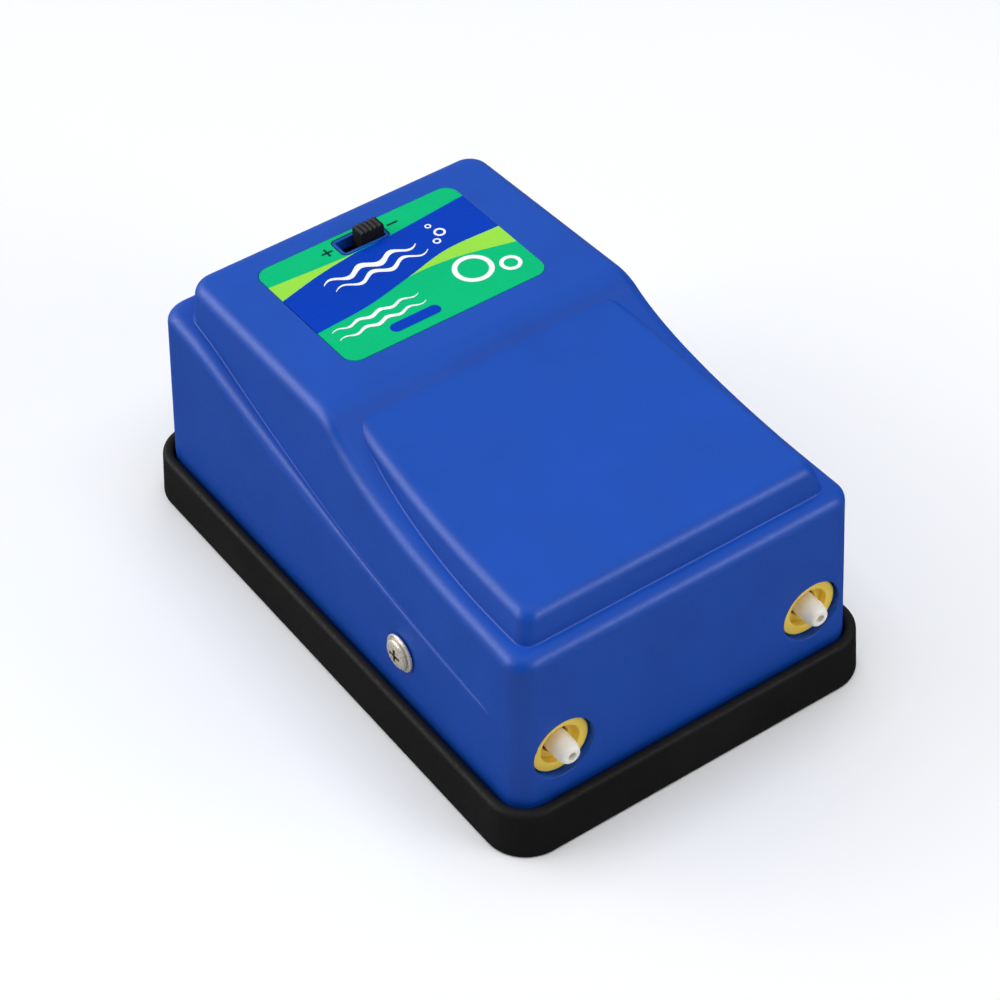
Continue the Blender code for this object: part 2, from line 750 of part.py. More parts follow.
def make_grommet():
    """The rubber bush that the supply cord passes through, held by the cover's rear wall."""
    flange = GROMMET_WAIST + 1.4
    waist = GROMMET_WAIST - GAP
    outside = plinth_rear(CORD_Z - flange) + GAP
    inside = plinth_rear(CORD_Z + flange) - WALL - GAP - 0.2
    thick = 1.4
    edge = 0.5
    profile = [
        (GROMMET_BORE, inside - thick), (flange - edge, inside - thick),
        (flange, inside - thick + edge), (flange, inside), (waist, inside), (waist, outside),
        (flange, outside), (flange, outside + thick - edge), (flange - edge, outside + thick),
        (GROMMET_BORE, outside + thick),
    ]
    return turned("cord_grommet", profile, "Y", (0, 0, CORD_Z), 1, "soft_rubber")


# ---------------------------------------------------------------- label and switch


def make_label(frame):
    """Label plate in its recess, with a window round the switch slot."""
    label = prism("label", rounded_rectangle((0, 0), LABEL_SIZE, LABEL_CORNER), "Z",
                  -LABEL_THICKNESS, 0, "label_print", parent=frame)
    window = prism("label_window", slot_outline(SLOT_LIP + GAP), "Z", -CLEAR, CLEAR, parent=frame)
    return boolean(label, window)


def make_switch(frame):
    """Slide switch body: an open-topped box clipped under the panel, and its terminals."""
    x, y = SLOT_CENTRE[0], SLOT_CENTRE[1] - LABEL_CENTRE_Y
    top = -WALL - GAP
    half_x, half_y, depth = SWITCH_HALF
    wall = 1.0
    floor = 1.2
    body = box("switch_body", (x - half_x, y - half_y, top - depth), (x + half_x, y + half_y, top),
               "black_plastic", parent=frame)
    cavity = box("switch_cavity", (x - half_x + 1.8 * wall, y - half_y + wall, top - depth + floor),
                 (x + half_x - 1.8 * wall, y + half_y - wall, top + CLEAR), parent=frame)
    blade = (0.8, 0.25)
    blade_top = top - depth - GAP
    for index, place in enumerate((-TERMINAL_PITCH, 0.0, TERMINAL_PITCH)):
        box(f"switch_terminal_{index + 1}",
            (x + place - blade[0], y - blade[1], blade_top - TERMINAL_LENGTH),
            (x + place + blade[0], y + blade[1], blade_top), "brass", parent=frame)
    return boolean(body, cavity)


def knob_top_outline(x):
    """(x, z) outline of the knob above its slider, with ridges along the top."""
    half = KNOB_SIZE[0] / 2
    edge = 0.08
    steps = 4 * KNOB_RIDGES
    outline = [(x + half, KNOB_HEIGHT - 3 * edge)]
    for i in range(steps + 1):
        groove = abs(math.cos(math.pi * KNOB_RIDGES * i / steps)) ** 1.5
        across = x + half - edge - (KNOB_SIZE[0] - 2 * edge) * i / steps
        outline.append((across, KNOB_HEIGHT - KNOB_GROOVE * groove))
    outline.append((x - half, KNOB_HEIGHT - 3 * edge))
    return outline


def make_knob(frame):
    """The moving knob: a ribbed cap through the slot on a slider in the switch body."""
    travel_room = (SLOT_SIZE[0] - KNOB_SIZE[0] - KNOB_TRAVEL) / 2
    x = SLOT_CENTRE[0] + SLOT_SIZE[0] / 2 - travel_room - KNOB_SIZE[0] / 2
    y = SLOT_CENTRE[1] - LABEL_CENTRE_Y
    half = KNOB_SIZE[0] / 2
    slider_half = (2.6, 2.05)
    slider_top = -WALL - GAP - 0.5
    slider_bottom = slider_top - 1.9
    stem_bottom = slider_top - 0.5
    outline = knob_top_outline(x) + [(x - half, stem_bottom), (x + half, stem_bottom)]
    knob = prism("switch_knob", outline, "Y", y - KNOB_SIZE[1] / 2, y + KNOB_SIZE[1] / 2,
                 "black_plastic", parent=frame)
    slider = box("knob_slider", (x - slider_half[0], y - slider_half[1], slider_bottom),
                 (x + slider_half[0], y + slider_half[1], slider_top), parent=frame)
    return boolean(knob, slider, "UNION")


# ---------------------------------------------------------------- magnetic drive


def square(centre, half_y, half_z, radius, steps=1):
    return rounded_rectangle(centre, (2 * half_y, 2 * half_z), radius, steps)


def make_bobbin(centre):
    """Square bobbin with a flange at each end, and the winding round its tube."""
    window = (CORE_HALF_WIDTH + GAP, STACK_HALF_HEIGHT + GAP)
    tube = (window[0] + BOBBIN_WALL, window[1] + BOBBIN_WALL)
    groove = BOBBIN_HALF_LENGTH - BOBBIN_WALL
    bobbin = prism("coil_bobbin", square(centre, BOBBIN_HALF, BOBBIN_HALF, 1.5, 2), "X",
                   -BOBBIN_HALF_LENGTH, BOBBIN_HALF_LENGTH, "nylon")
    waist = prism("bobbin_waist", square(centre, BOBBIN_HALF + CLEAR, BOBBIN_HALF + CLEAR, 1.0), "X",
                  -groove, groove)
    boolean(waist, prism("bobbin_tube", square(centre, *tube, 0.8), "X", -groove - CLEAR, groove + CLEAR))
    boolean(bobbin, waist)
    boolean(bobbin, prism("bobbin_window", square(centre, *window, 0.1), "X",
                          -BOBBIN_HALF_LENGTH - CLEAR, BOBBIN_HALF_LENGTH + CLEAR))
    winding = prism("coil_winding", square(centre, WINDING_HALF, WINDING_HALF, 3.0, 4), "X",
                    -groove + GAP, groove - GAP, "copper")
    bore = square(centre, tube[0] + GAP, tube[1] + GAP, 0.9)
    boolean(winding, prism("winding_bore", bore, "X", -groove - CLEAR, groove + CLEAR))


def make_core_half(side, name):
    """One T-shaped half of the laminated core: a leg in the bobbin and a pole outside it."""
    joint = GAP / 2
    pole_inner = BOBBIN_HALF_LENGTH + GAP
    outline = [
        (joint, -CORE_HALF_WIDTH), (pole_inner, -CORE_HALF_WIDTH), (pole_inner, -POLE_HALF_WIDTH),
        (POLE_FACE_X, -POLE_HALF_WIDTH), (POLE_FACE_X, POLE_HALF_WIDTH),
        (pole_inner, POLE_HALF_WIDTH), (pole_inner, CORE_HALF_WIDTH), (joint, CORE_HALF_WIDTH),
    ]
    outline = [(side * x, COIL_Y + y) for x, y in outline]
    prism(f"core_half_{name}", outline, "Z", AXIS_Z - STACK_HALF_HEIGHT, AXIS_Z + STACK_HALF_HEIGHT,
          "core_steel")


def make_strap():
    """Steel strap over the coil with a foot at each end, and its two screws."""
    foot = CHASSIS_TOP + GAP
    foot_length = 7.5
    crown = AXIS_Z + BOBBIN_HALF + GAP
    front, rear = COIL_Y - BOBBIN_HALF - GAP, COIL_Y + BOBBIN_HALF + GAP
    outline = [
        (front - foot_length, foot), (front, foot), (front, crown), (rear, crown), (rear, foot),
        (rear + foot_length, foot), (rear + foot_length, foot + STRAP_THICKNESS),
        (rear + STRAP_THICKNESS, foot + STRAP_THICKNESS),
        (rear + STRAP_THICKNESS, crown + STRAP_THICKNESS),
        (front - STRAP_THICKNESS, crown + STRAP_THICKNESS),
        (front - STRAP_THICKNESS, foot + STRAP_THICKNESS),
        (front - foot_length, foot + STRAP_THICKNESS),
    ]
    strap = prism("coil_strap", outline, "X", -STRAP_HALF_WIDTH, STRAP_HALF_WIDTH, "steel")
    for y, name in zip(STRAP_Y, ("front", "rear")):
        boolean(strap, rod("strap_screw_hole", "Z", (0, y, 0), SCREW_HOLE_RADIUS, foot - CLEAR,
                           foot + STRAP_THICKNESS + CLEAR))
        seat = (0, y, foot + STRAP_THICKNESS + GAP)
        make_screw(f"strap_screw_{name}", "Z", seat, 1, STRAP_SCREW_HEAD, 4.0)


def make_coil():
    make_bobbin((COIL_Y, AXIS_Z))
    make_core_half(-1, "left")
    make_core_half(1, "right")
    make_strap()


def make_screw(name, axis, seat, direction, head, length):
    """Pan-head screw with a cross recess: seat is the middle of the underside of its head."""
    radius, height = head
    profile = [
        (0, -length), (SCREW_SHANK * 0.7, -length), (SCREW_SHANK, -length + 0.5), (SCREW_SHANK, 0),
        (radius, 0), (radius, height * 0.45), (radius * 0.93, height * 0.75),
        (radius * 0.62, height * 0.96), (0, height),
    ]
    screw = turned(name, profile, axis, seat, direction, "nickel", 20)
    along = "XYZ".index(axis)
    cross = CROSS_SIZE[0] / 2, CROSS_SIZE[1] / 2
    for wide, tall in (cross, cross[::-1]):
        low = [c - wide for c in seat]
        high = [c + wide for c in seat]
        low[along - 1], high[along - 1] = seat[along - 1] - tall, seat[along - 1] + tall
        ends = seat[along] + direction * (height - CROSS_DEPTH), seat[along] + direction * (height + CLEAR)
        low[along], high[along] = sorted(ends)
        boolean(screw, box(f"{name}_cross", low, high))
    return screw


# ---------------------------------------------------------------- one side's pump


def span(side, inner, outer):
    """Low and high X of a range given as distances out from the middle plane."""
    return sorted((side * inner, side * outer))


def make_head(side, name):
    """Pump head: valve chambers behind the diaphragm, and the outlet nozzle."""
    centre = ((HEAD_Y[0] + HEAD_Y[1]) / 2, (HEAD_Z[0] + HEAD_Z[1]) / 2)
    size = (HEAD_Y[1] - HEAD_Y[0], HEAD_Z[1] - HEAD_Z[0])
    head = prism(f"pump_head_{name}", rounded_rectangle(centre, size, HEAD_CORNER, 3), "X",
                 *span(side, HEAD_FACE_X, HEAD_BACK_X), "white_plastic")
    boolean(head, nozzle_form(side), "UNION")
    boolean(head, rod("chamber", "X", (0, SCREW_Y, AXIS_Z), CHAMBER_RADIUS,
                      *span(side, HEAD_FACE_X - CLEAR, HEAD_FACE_X + CHAMBER_DEPTH)))
    for y in POCKET_Y:
        low_x, high_x = span(side, POCKET_X, HEAD_BACK_X + CLEAR)
        boolean(head, box("valve_pocket", (low_x, y - POCKET_HALF, POCKET_Z[0]),
                          (high_x, y + POCKET_HALF, POCKET_Z[1])))
    for y in OUTLET_PORT_Y, INTAKE_PORT_Y:
        boolean(head, rod("valve_port", "X", (0, y, AXIS_Z), PORT_RADIUS,
                          *span(side, HEAD_FACE_X + 1, POCKET_X + 1)))
    boolean(head, rod("intake_mouth", "Y", (side * PASSAGE_X, 0, AXIS_Z), PORT_RADIUS,
                      POCKET_Y[1], HEAD_Y[1] + CLEAR))
    boolean(head, rod("outlet_bore", "Y", (side * PASSAGE_X, 0, AXIS_Z), NOZZLE_BORE,
                      HEAD_Y[0] + 1.5, POCKET_Y[0]))
    boolean(head, rod("nozzle_bore", "Y", (side * OUTLET_X, 0, AXIS_Z), NOZZLE_BORE,
                      NOZZLE_TIP_Y - CLEAR, POCKET_Y[0] - POCKET_HALF + 0.7))
    boolean(head, rod("boss_hole", "X", (0, SCREW_Y, AXIS_Z), SCREW_HOLE_RADIUS,
                      *span(side, POCKET_X - 1, HEAD_BACK_X + CLEAR)))
    return head


def nozzle_form(side):
    """Tapered outlet nozzle on the front of the head, with a hose taper at its tip."""
    tip = NOZZLE_TIP_Y
    profile = [
        (0, HEAD_Y[0] + 1), (NOZZLE_ROOT_RADIUS, HEAD_Y[0] + 1), (NOZZLE_ROOT_RADIUS, tip + 10.2),
        (NOZZLE_RADIUS, tip + 7.2), (NOZZLE_RADIUS, tip + 2.2), (NOZZLE_RADIUS - 0.15, tip + 1.5),
        (NOZZLE_RADIUS * 0.67, tip + 0.15), (NOZZLE_RADIUS * 0.6, tip), (0, tip),
    ]
    return turned("nozzle_form", profile[::-1], "Y", (side * OUTLET_X, 0, AXIS_Z))


def make_head_fittings(side, name):
    """The plate that closes the head's valve pockets, and its two rubber flaps."""
    centre = ((HEAD_Y[0] + HEAD_Y[1]) / 2, (HEAD_Z[0] + PLATE_TOP) / 2)
    size = (HEAD_Y[1] - HEAD_Y[0], PLATE_TOP - HEAD_Z[0])
    plate = prism(f"head_back_plate_{name}", rounded_rectangle(centre, size, HEAD_CORNER, 3), "X",
                  *span(side, HEAD_BACK_X + GAP, PLATE_BACK_X), "nylon")
    boolean(plate, rod("plate_hole", "X", (0, SCREW_Y, AXIS_Z), BOSS_HOLE_RADIUS,
                       *span(side, HEAD_BACK_X - 1, PLATE_BACK_X + 1)))
    intake_x = HEAD_FACE_X + CHAMBER_DEPTH - FLAP_THICKNESS - GAP
    flaps = {"intake_flap": (INTAKE_PORT_Y, intake_x), "outlet_flap": (OUTLET_PORT_Y, POCKET_X + GAP)}
    for flap, (y, x) in flaps.items():
        rod(f"{flap}_{name}", "X", (0, y, AXIS_Z), FLAP_RADIUS, *span(side, x, x + FLAP_THICKNESS),
            "soft_rubber", 16)


def make_diaphragm(side, name):
    """Rubber cup with a bead on the head's face, one rolled fold and a middle boss."""
    fold = (7.6, 1.4)
    bead = [(DIAPHRAGM_RADIUS, 0), (DIAPHRAGM_RADIUS, 1.9), (DIAPHRAGM_RADIUS - 0.4, 2.3),
            (11.0, 2.3), (10.2, 1.9)]
    boss = [(5.4, 2.4), (4.9, 4.6), (STUD_HOLE_RADIUS, 4.6), (STUD_HOLE_RADIUS, 2.0), (5.0, 2.0),
            (5.6, 1.2)]
    profile = bead + arc(fold, 1.6, 20, 160, 3) + boss + arc(fold, 0.8, 160, 20, 3)
    profile += [(10.2, 1.1), (10.6, 0)]
    face = (side * (HEAD_FACE_X - GAP), SCREW_Y, AXIS_Z)
    return turned(f"diaphragm_{name}", profile, "X", face, -side, "soft_rubber")


def arm_outline(side):
    """Plan of the arm: straight from the hinge, then cranked outwards past the coil."""
    half = ARM_THICKNESS / 2
    spine = [(ARM_X, HINGE_Y - 1.5), (ARM_X, ARM_CRANK_Y[0]), (ARM_REAR_X, ARM_CRANK_Y[1]),
             (ARM_REAR_X, ARM_END_Y)]
    outer = [(x + half, y) for x, y in spine]
    inner = [(x - half, y) for x, y in reversed(spine)]
    return [(side * x, y) for x, y in outer + inner]


def make_arm(side, name):
    """Rocker arm with its diaphragm stud, nut and magnet; its origin is on the hinge axis."""
    pivot = (side * ARM_X, HINGE_Y, AXIS_Z)
    drive = (0, SCREW_Y, AXIS_Z)
    arm = prism(f"rocker_arm_{name}", arm_outline(side), "Z", AXIS_Z - ARM_HALF_HEIGHT,
                AXIS_Z + ARM_HALF_HEIGHT, "steel", pivot=pivot)
    boolean(arm, rod("stud_hole", "X", drive, STUD_HOLE_RADIUS, *span(side, ARM_X - CLEAR, ARM_X + CLEAR)))
    face = (side * (HEAD_FACE_X - GAP), SCREW_Y, AXIS_Z)
    disc = [(0, 0.6), (4.2, 0.6), (4.4, 0.8), (4.4, 1.4), (4.2, 1.7), (STUD_RADIUS, 1.7)]
    shank = [(STUD_RADIUS, STUD_LENGTH - 0.3), (STUD_RADIUS - 0.3, STUD_LENGTH), (0, STUD_LENGTH)]
    turned(f"diaphragm_stud_{name}", disc + shank, "X", face, -side, "brass", pivot=pivot)
    nut_face = ARM_X - ARM_THICKNESS / 2 - GAP
    nut = prism(f"stud_nut_{name}", circle((SCREW_Y, AXIS_Z), NUT_RADIUS, 6), "X",
                *span(side, nut_face - NUT_THICKNESS, nut_face), "brass", pivot=pivot)
    boolean(nut, rod("nut_hole", "X", drive, STUD_HOLE_RADIUS,
                     *span(side, nut_face - NUT_THICKNESS - 1, nut_face + 1)))
    magnet_face = ARM_REAR_X - ARM_THICKNESS / 2 - GAP
    outline = rounded_rectangle((COIL_Y, AXIS_Z), MAGNET_SIZE[:2], 0.6, 1)
    prism(f"magnet_{name}", outline, "X", *span(side, magnet_face - MAGNET_SIZE[2], magnet_face),
          "magnet", pivot=pivot)


def make_hinge_block(side, name):
    """Rubber block that grips the end of the arm and flexes as its pivot."""
    x = side * ARM_X
    block = box(f"hinge_block_{name}", (x - POST_HALF_WIDTH + 0.8, POST_Y[0] + 0.4, POST_TOP + GAP),
                (x + POST_HALF_WIDTH - 0.8, POST_Y[1] - 0.4, HINGE_TOP), "soft_rubber")
    half = ARM_THICKNESS / 2 + GAP + 0.05
    mouth = box("hinge_mouth", (x - half, HINGE_Y - 2.0, AXIS_Z - ARM_HALF_HEIGHT - GAP),
                (x + half, POST_Y[1] + CLEAR, HINGE_TOP + CLEAR))
    return boolean(block, mouth)


def make_outlet_collar(side, name):
    """Yellow bush in the front wall; the nozzle stands in its counterbore."""
    floor = COLLAR_FACE_Y + COLLAR_DEPTH
    back = floor + 0.9
    bore = NOZZLE_RADIUS + 0.4
    edge = 0.15
    profile = [
        (COLLAR_BORE, COLLAR_FACE_Y), (COLLAR_RADIUS - edge, COLLAR_FACE_Y),
        (COLLAR_RADIUS, COLLAR_FACE_Y + edge), (COLLAR_RADIUS, back), (bore, back), (bore, floor),
        (COLLAR_BORE, floor),
    ]
    return turned(f"outlet_collar_{name}", profile[::-1], "Y", (side * OUTLET_X, 0, AXIS_Z), 1,
                  "yellow_rubber", FINE_ROUND)


def make_side_screw(side, name):
    """Screw through the cover's side wall into the pump head, and its washer."""
    inner = plinth_half_width(AXIS_Z) + GAP
    washer = [(WASHER_BORE, 0), (WASHER_RADIUS, 0), (WASHER_RADIUS, WASHER_THICKNESS),
              (WASHER_BORE, WASHER_THICKNESS)]
    turned(f"side_washer_{name}", washer, "X", (side * inner, SCREW_Y, AXIS_Z), side, "nickel",
           FINE_ROUND)
    seat = (side * (inner + WASHER_THICKNESS + GAP), SCREW_Y, AXIS_Z)
    make_screw(f"side_screw_{name}", "X", seat, side, SIDE_SCREW_HEAD, SIDE_SCREW_LENGTH)


# ---------------------------------------------------------------- wiring


def smooth_route(anchors, spacing):
    """Evenly spread points on a Catmull-Rom curve through the anchors."""
    knots = [np.array(p, float) for p in anchors]
    knots = [2 * knots[0] - knots[1]] + knots + [2 * knots[-1] - knots[-2]]
    dense = []
    for a, b, c, d in zip(knots, knots[1:], knots[2:], knots[3:]):
        for t in np.linspace(0, 1, 24, endpoint=False):
            dense.append(0.5 * (2 * b + (c - a) * t + (2 * a - 5 * b + 4 * c - d) * t**2
                                + (3 * b - a - 3 * c + d) * t**3))
    dense.append(knots[-2])
    dense = np.array(dense)
    run = np.concatenate([[0], np.cumsum(np.linalg.norm(np.diff(dense, axis=0), axis=1))])
    marks = np.linspace(0, run[-1], max(4, int(run[-1] / spacing)))
    return [tuple(float(np.interp(m, run, dense[:, k])) for k in range(3)) for m in marks]


def make_wires():
    for name, (finish, anchors) in WIRE_ROUTES.items():
        points = smooth_route(anchors, WIRE_SPACING)
        curve = bpy.data.curves.new(name, "CURVE")
        curve.dimensions = "3D"
        curve.bevel_depth = WIRE_RADIUS * MM
        curve.bevel_resolution = 2
        curve.use_fill_caps = True
        spline = curve.splines.new("POLY")
        spline.points.add(len(points) - 1)
        for point, place in zip(spline.points, points):
            point.co = (*(Vector(place) * MM), 1.0)
        curve.materials.append(material(finish))
        bpy.context.scene.collection.objects.link(bpy.data.objects.new(name, curve))


# ---------------------------------------------------------------- assembly


def main():
    clear_scene()
    frame = top_frame()
    make_base()
    make_chassis()
    make_filter()
    make_cover(frame)
    make_grommet()
    make_label(frame)
    make_switch(frame)
    make_knob(frame)
    make_coil()
    make_wires()
    for side, name in ((-1, "left"), (1, "right")):
        make_head(side, name)
        make_head_fittings(side, name)
        make_diaphragm(side, name)
        make_arm(side, name)
        make_hinge_block(side, name)
        make_outlet_collar(side, name)
        make_side_screw(side, name)


main()
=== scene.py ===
"""Looks of the twin-outlet aquarium air pump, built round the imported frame.

Lengths below are in millimetres in the frame's own axes, and mesh points are scaled to metres
as they are made. The shape of the cover repeats the formulas of the CAD source, more finely.
"""

import json
from collections import namedtuple
from contextlib import contextmanager
from math import atan2, comb, cos, pi, radians, sin, sqrt

import bmesh
import bpy
import numpy as np
from mathutils import Matrix, Vector

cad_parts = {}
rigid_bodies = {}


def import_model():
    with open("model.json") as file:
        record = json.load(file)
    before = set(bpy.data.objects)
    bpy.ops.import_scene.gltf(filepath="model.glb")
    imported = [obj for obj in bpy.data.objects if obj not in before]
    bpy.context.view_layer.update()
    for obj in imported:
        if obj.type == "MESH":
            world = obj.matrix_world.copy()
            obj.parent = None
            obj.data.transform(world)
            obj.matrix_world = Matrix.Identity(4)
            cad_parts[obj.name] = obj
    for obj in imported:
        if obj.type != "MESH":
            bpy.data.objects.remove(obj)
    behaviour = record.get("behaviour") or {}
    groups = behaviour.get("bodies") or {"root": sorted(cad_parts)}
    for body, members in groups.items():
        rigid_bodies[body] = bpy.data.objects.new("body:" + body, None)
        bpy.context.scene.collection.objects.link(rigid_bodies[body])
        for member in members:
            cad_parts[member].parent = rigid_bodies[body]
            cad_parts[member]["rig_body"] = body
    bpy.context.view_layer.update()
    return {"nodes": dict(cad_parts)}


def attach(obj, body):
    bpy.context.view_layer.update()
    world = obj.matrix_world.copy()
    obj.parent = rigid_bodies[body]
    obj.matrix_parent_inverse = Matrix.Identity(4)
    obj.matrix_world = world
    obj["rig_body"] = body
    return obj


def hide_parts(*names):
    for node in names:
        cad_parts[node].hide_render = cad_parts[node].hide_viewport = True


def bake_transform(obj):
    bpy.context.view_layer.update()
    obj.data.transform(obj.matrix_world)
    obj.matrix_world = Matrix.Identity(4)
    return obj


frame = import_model()

MM = 0.001
GAP = 0.3
CLEAR = 3.0

# Camera: its direction, its turn about its own axis, where it aims and its distance
CAMERA_AZIMUTH = radians(-34.467)
CAMERA_ELEVATION = radians(44.086)
CAMERA_ROLL = radians(-1.469)
CAMERA_SHIFT = (-0.010, 12.703)  # aim point from the origin, across and up the picture
CAMERA_DISTANCE = 584.495
CAMERA_LENS = 118.68
CAMERA_SENSOR = 36.0

# Rubber base boot
BASE_WIDTH = 76.0
BASE_LENGTH = 115.0
BASE_HEIGHT = 9.9
BASE_CORNER = 7.8
BASE_DRAFT = 0.5
BASE_FLOOR = 2.5
RIM_THICKNESS = 2.05
FOOT_EDGE = 0.5
INLET = (0.0, -30.0)
INLET_RADIUS = 5.0
CHANNEL_SIZE = (6.0, 1.0)

# Cover
WALL = 2.2
COVER_BOTTOM = BASE_FLOOR + GAP
COVER_HALF_WIDTH = 34.95
COVER_HALF_LENGTH = 54.6
COVER_CORNER = 4.5
LEDGE_CORNER = 4.2
TOP_CORNER = 4.0
DATUM_Z = 10.0
WALL_LEAN = 0.033
UPPER_HALF_WIDTH = 35.75
UPPER_TAPER = 0.03
UPPER_LEAN = 0.082
FLANK_HOLLOW = 0.022  # set-in of the flank's foot for each millimetre forward of the middle
FLANK_EASE = 6.0
FLANK_END = 41.0
FLANK_RUN_OUT = 0.012
FLANK_TOP = 41.0
FLANK_HEIGHT = 14.0
UPPER_REAR = 52.9
LEDGE_MIDDLE_Z = 31.95
LEDGE_SLOPE = 0.19
LEDGE_CURVE = 0.0012
LEDGE_LEVEL_Y = 36.0
LEDGE_LEVELLING = 0.0095
LEDGE_RADIUS = 2.4
LEDGE_ROLL = (0.82, 1.7)  # largest edge rounding across and down, as shares of the ledge's width
SHOULDER_RADIUS = 2.4
CREASE_RADIUS = 0.28  # concave fillet where the ledge meets the upper wall
CREASE_SHARE = 0.15  # and the most of the ledge's width that it takes
PANEL_REAR = (47.0, 50.2)
PANEL_FRONT = (7.0, 51.5)
BEND_CORNER = (4.2, 51.55)
BEND_END = (2.2, 50.05)
SLOPE_HANDLES = ((-7.1, 43.3), (-29.0, 41.7))
SLOPE_END = (-40.0, 41.7)
PAD_HALF_WIDTH = 29.05
PAD_FLARE = 0.00105
PAD_LEAN = 0.27
PAD_REAR_Y = 6.5
PAD_FRONT_Y = -49.0
PAD_CORNER = 2.6
PAD_Z = 47.25
PAD_LEVEL_Y = -36.0
PAD_SWEEP = 0.0017
PAD_RADIUS = 1.8
LIP_RADIUS = 0.2  # rounded rims of the cover's openings
RECESS_LIP = 0.1
LABEL_FIT = 0.08  # gap that shows round the label
FOOT_FILLET = 0.28  # concave fillet round the pad's foot
FOOT_FADE = 1.0  # standing height of the pad over which that fillet fades in

# Label, slot and knob, in the frame of the tilted top panel
LABEL_SIZE = (41.0, 30.5)
LABEL_CENTRE_Y = 27.5
LABEL_CORNER = 2.6
LABEL_THICKNESS = 0.4
SLOT_SIZE = (8.5, 3.5)
SLOT_CENTRE = (-0.5, 39.5)
SLOT_CORNER = 0.35
SLOT_LIP = 0.5
KNOB_SIZE = (4.8, 2.8)
KNOB_HEIGHT = 2.3
KNOB_TRAVEL = 3.4
KNOB_RIDGES = 5
KNOB_GROOVE = 0.42
KNOB_EDGE = 0.08
SLIDER_HALF = (2.6, 2.05)
SLIDER_DEPTH = 1.9
SLIDER_DROP = 0.5  # of the slider below the cover's gap, and of the knob into the slider

# Outlets, screws, grommet
OUTLET_X = 25.6
AXIS_Z = 19.3
OUTLET_HOLE_RADIUS = 5.9
COLLAR_RADIUS = 5.6
COLLAR_BORE = 3.8
COLLAR_FACE_Y = -53.2
COLLAR_DEPTH = 1.4
NOZZLE_TIP_Y = -56.5
NOZZLE_RADIUS = 2.15
NOZZLE_ROOT_RADIUS = 2.65
NOZZLE_BORE = 0.8
NOZZLE_NOSE = (0.6, 2.3)  # share of the radius at the tip, and length
NOZZLE_ROOT = (7.2, 10.2)  # where the root's taper starts and ends, behind the tip
NOZZLE_ROOM = 0.4  # round the nozzle in its collar
SCREW_Y = -21.25
WASHER_RADIUS = 3.5
WASHER_BORE = 1.8
WASHER_THICKNESS = 0.5
WASHER_REST = 0.16  # room between the leaning wall and the washer
SCREW_REST = 0.03  # room between the washer and the head
SIDE_SCREW_HEAD = (2.8, 0.9)
SIDE_SCREW_LENGTH = 8.6
STRAP_SCREW_HEAD = (2.6, 1.9)
STRAP_SCREW_LENGTH = 4.0
STRAP_Y = (6.2, 41.8)
STRAP_TOP = 6.5
SCREW_SHANK = 1.4
BOSS_HOLE_RADIUS = 1.75
CROSS_SIZE = (2.9, 0.64)
CROSS_DEPTH = 0.9
THREAD_PITCH = 0.7
CORD_Z = 20.0
GROMMET_WAIST = 4.0
GROMMET_BORE = 2.2
GROMMET_FLANGE = 1.4  # its reach past the waist, and its thickness

# Pump head
HEAD_FACE_X = 20.3
HEAD_BACK_X = 30.4
HEAD_Y = (-36.0, -6.5)
HEAD_Z = (5.3, 33.3)
HEAD_CORNER = 2.0
CHAMBER_RADIUS = 10.0
CHAMBER_DEPTH = 2.4
OUTLET_PORT_Y = -28.6
INTAKE_PORT_Y = -13.9
PORT_RADIUS = 1.6
PASSAGE_X = 28.2
POCKET_X = 25.4
POCKET_Y = (-29.6, -12.9)
POCKET_HALF = 3.6
POCKET_Z = (11.3, 22.6)
BOSS_BORE_RADIUS = 1.7

# Fineness
SIDE_STATIONS = [-47 + 1.5 * i for i in range(31)] + [-1 + 0.4 * i for i in range(24)] + [
    9 + 2.0 * i for i in range(18)]
PAD_STATIONS = [-45 + 1.5 * i for i in range(30)] + [-0.5 + 0.5 * i for i in range(8)]
FILLET_STEPS = 8
CORNER_STEPS = 9
SETTLE_STEPS = 8  # rounds in which a ring's height and its end walls agree
ROUND = 64
FINE_ROUND = 48
HOLE_ROUND = 32
SMOOTH_ANGLE = radians(35)
RIM_ANGLE = radians(33)
WELD = 1e-7  # metres within which points are one
NEAR = 0.05  # distance within which an edge lies on a wall
OVERLAP = 0.05
LEAST_CORNER = 1.0
LEAST_PAD_CORNER = 0.8


def srgb(colour):
    """Linear colour of an sRGB colour given as 0 to 255."""
    values = []
    for channel in colour:
        share = channel / 255
        values.append(share / 12.92 if share <= 0.04045 else ((share + 0.055) / 1.055) ** 2.4)
    return tuple(values)


# ---- materials


LOOK = "look_"  # starts each material's name, before the record's slot name
NOISE_RANGE = (0.3, 0.7)  # holds nearly all of a noise's values
MATERIALS = {}


def set_inputs(node, values):
    """Set a node's inputs by name, where an underscore stands for a space."""
    for socket, value in values.items():
        node.inputs[socket.replace("_", " ")].default_value = value
    return node


def add_node(tree, kind, **values):
    return set_inputs(tree.nodes.new("ShaderNode" + kind), values)


def link_all(tree, links):
    for source, output, target, socket in links:
        tree.links.new(source.outputs[output], target.inputs[socket])


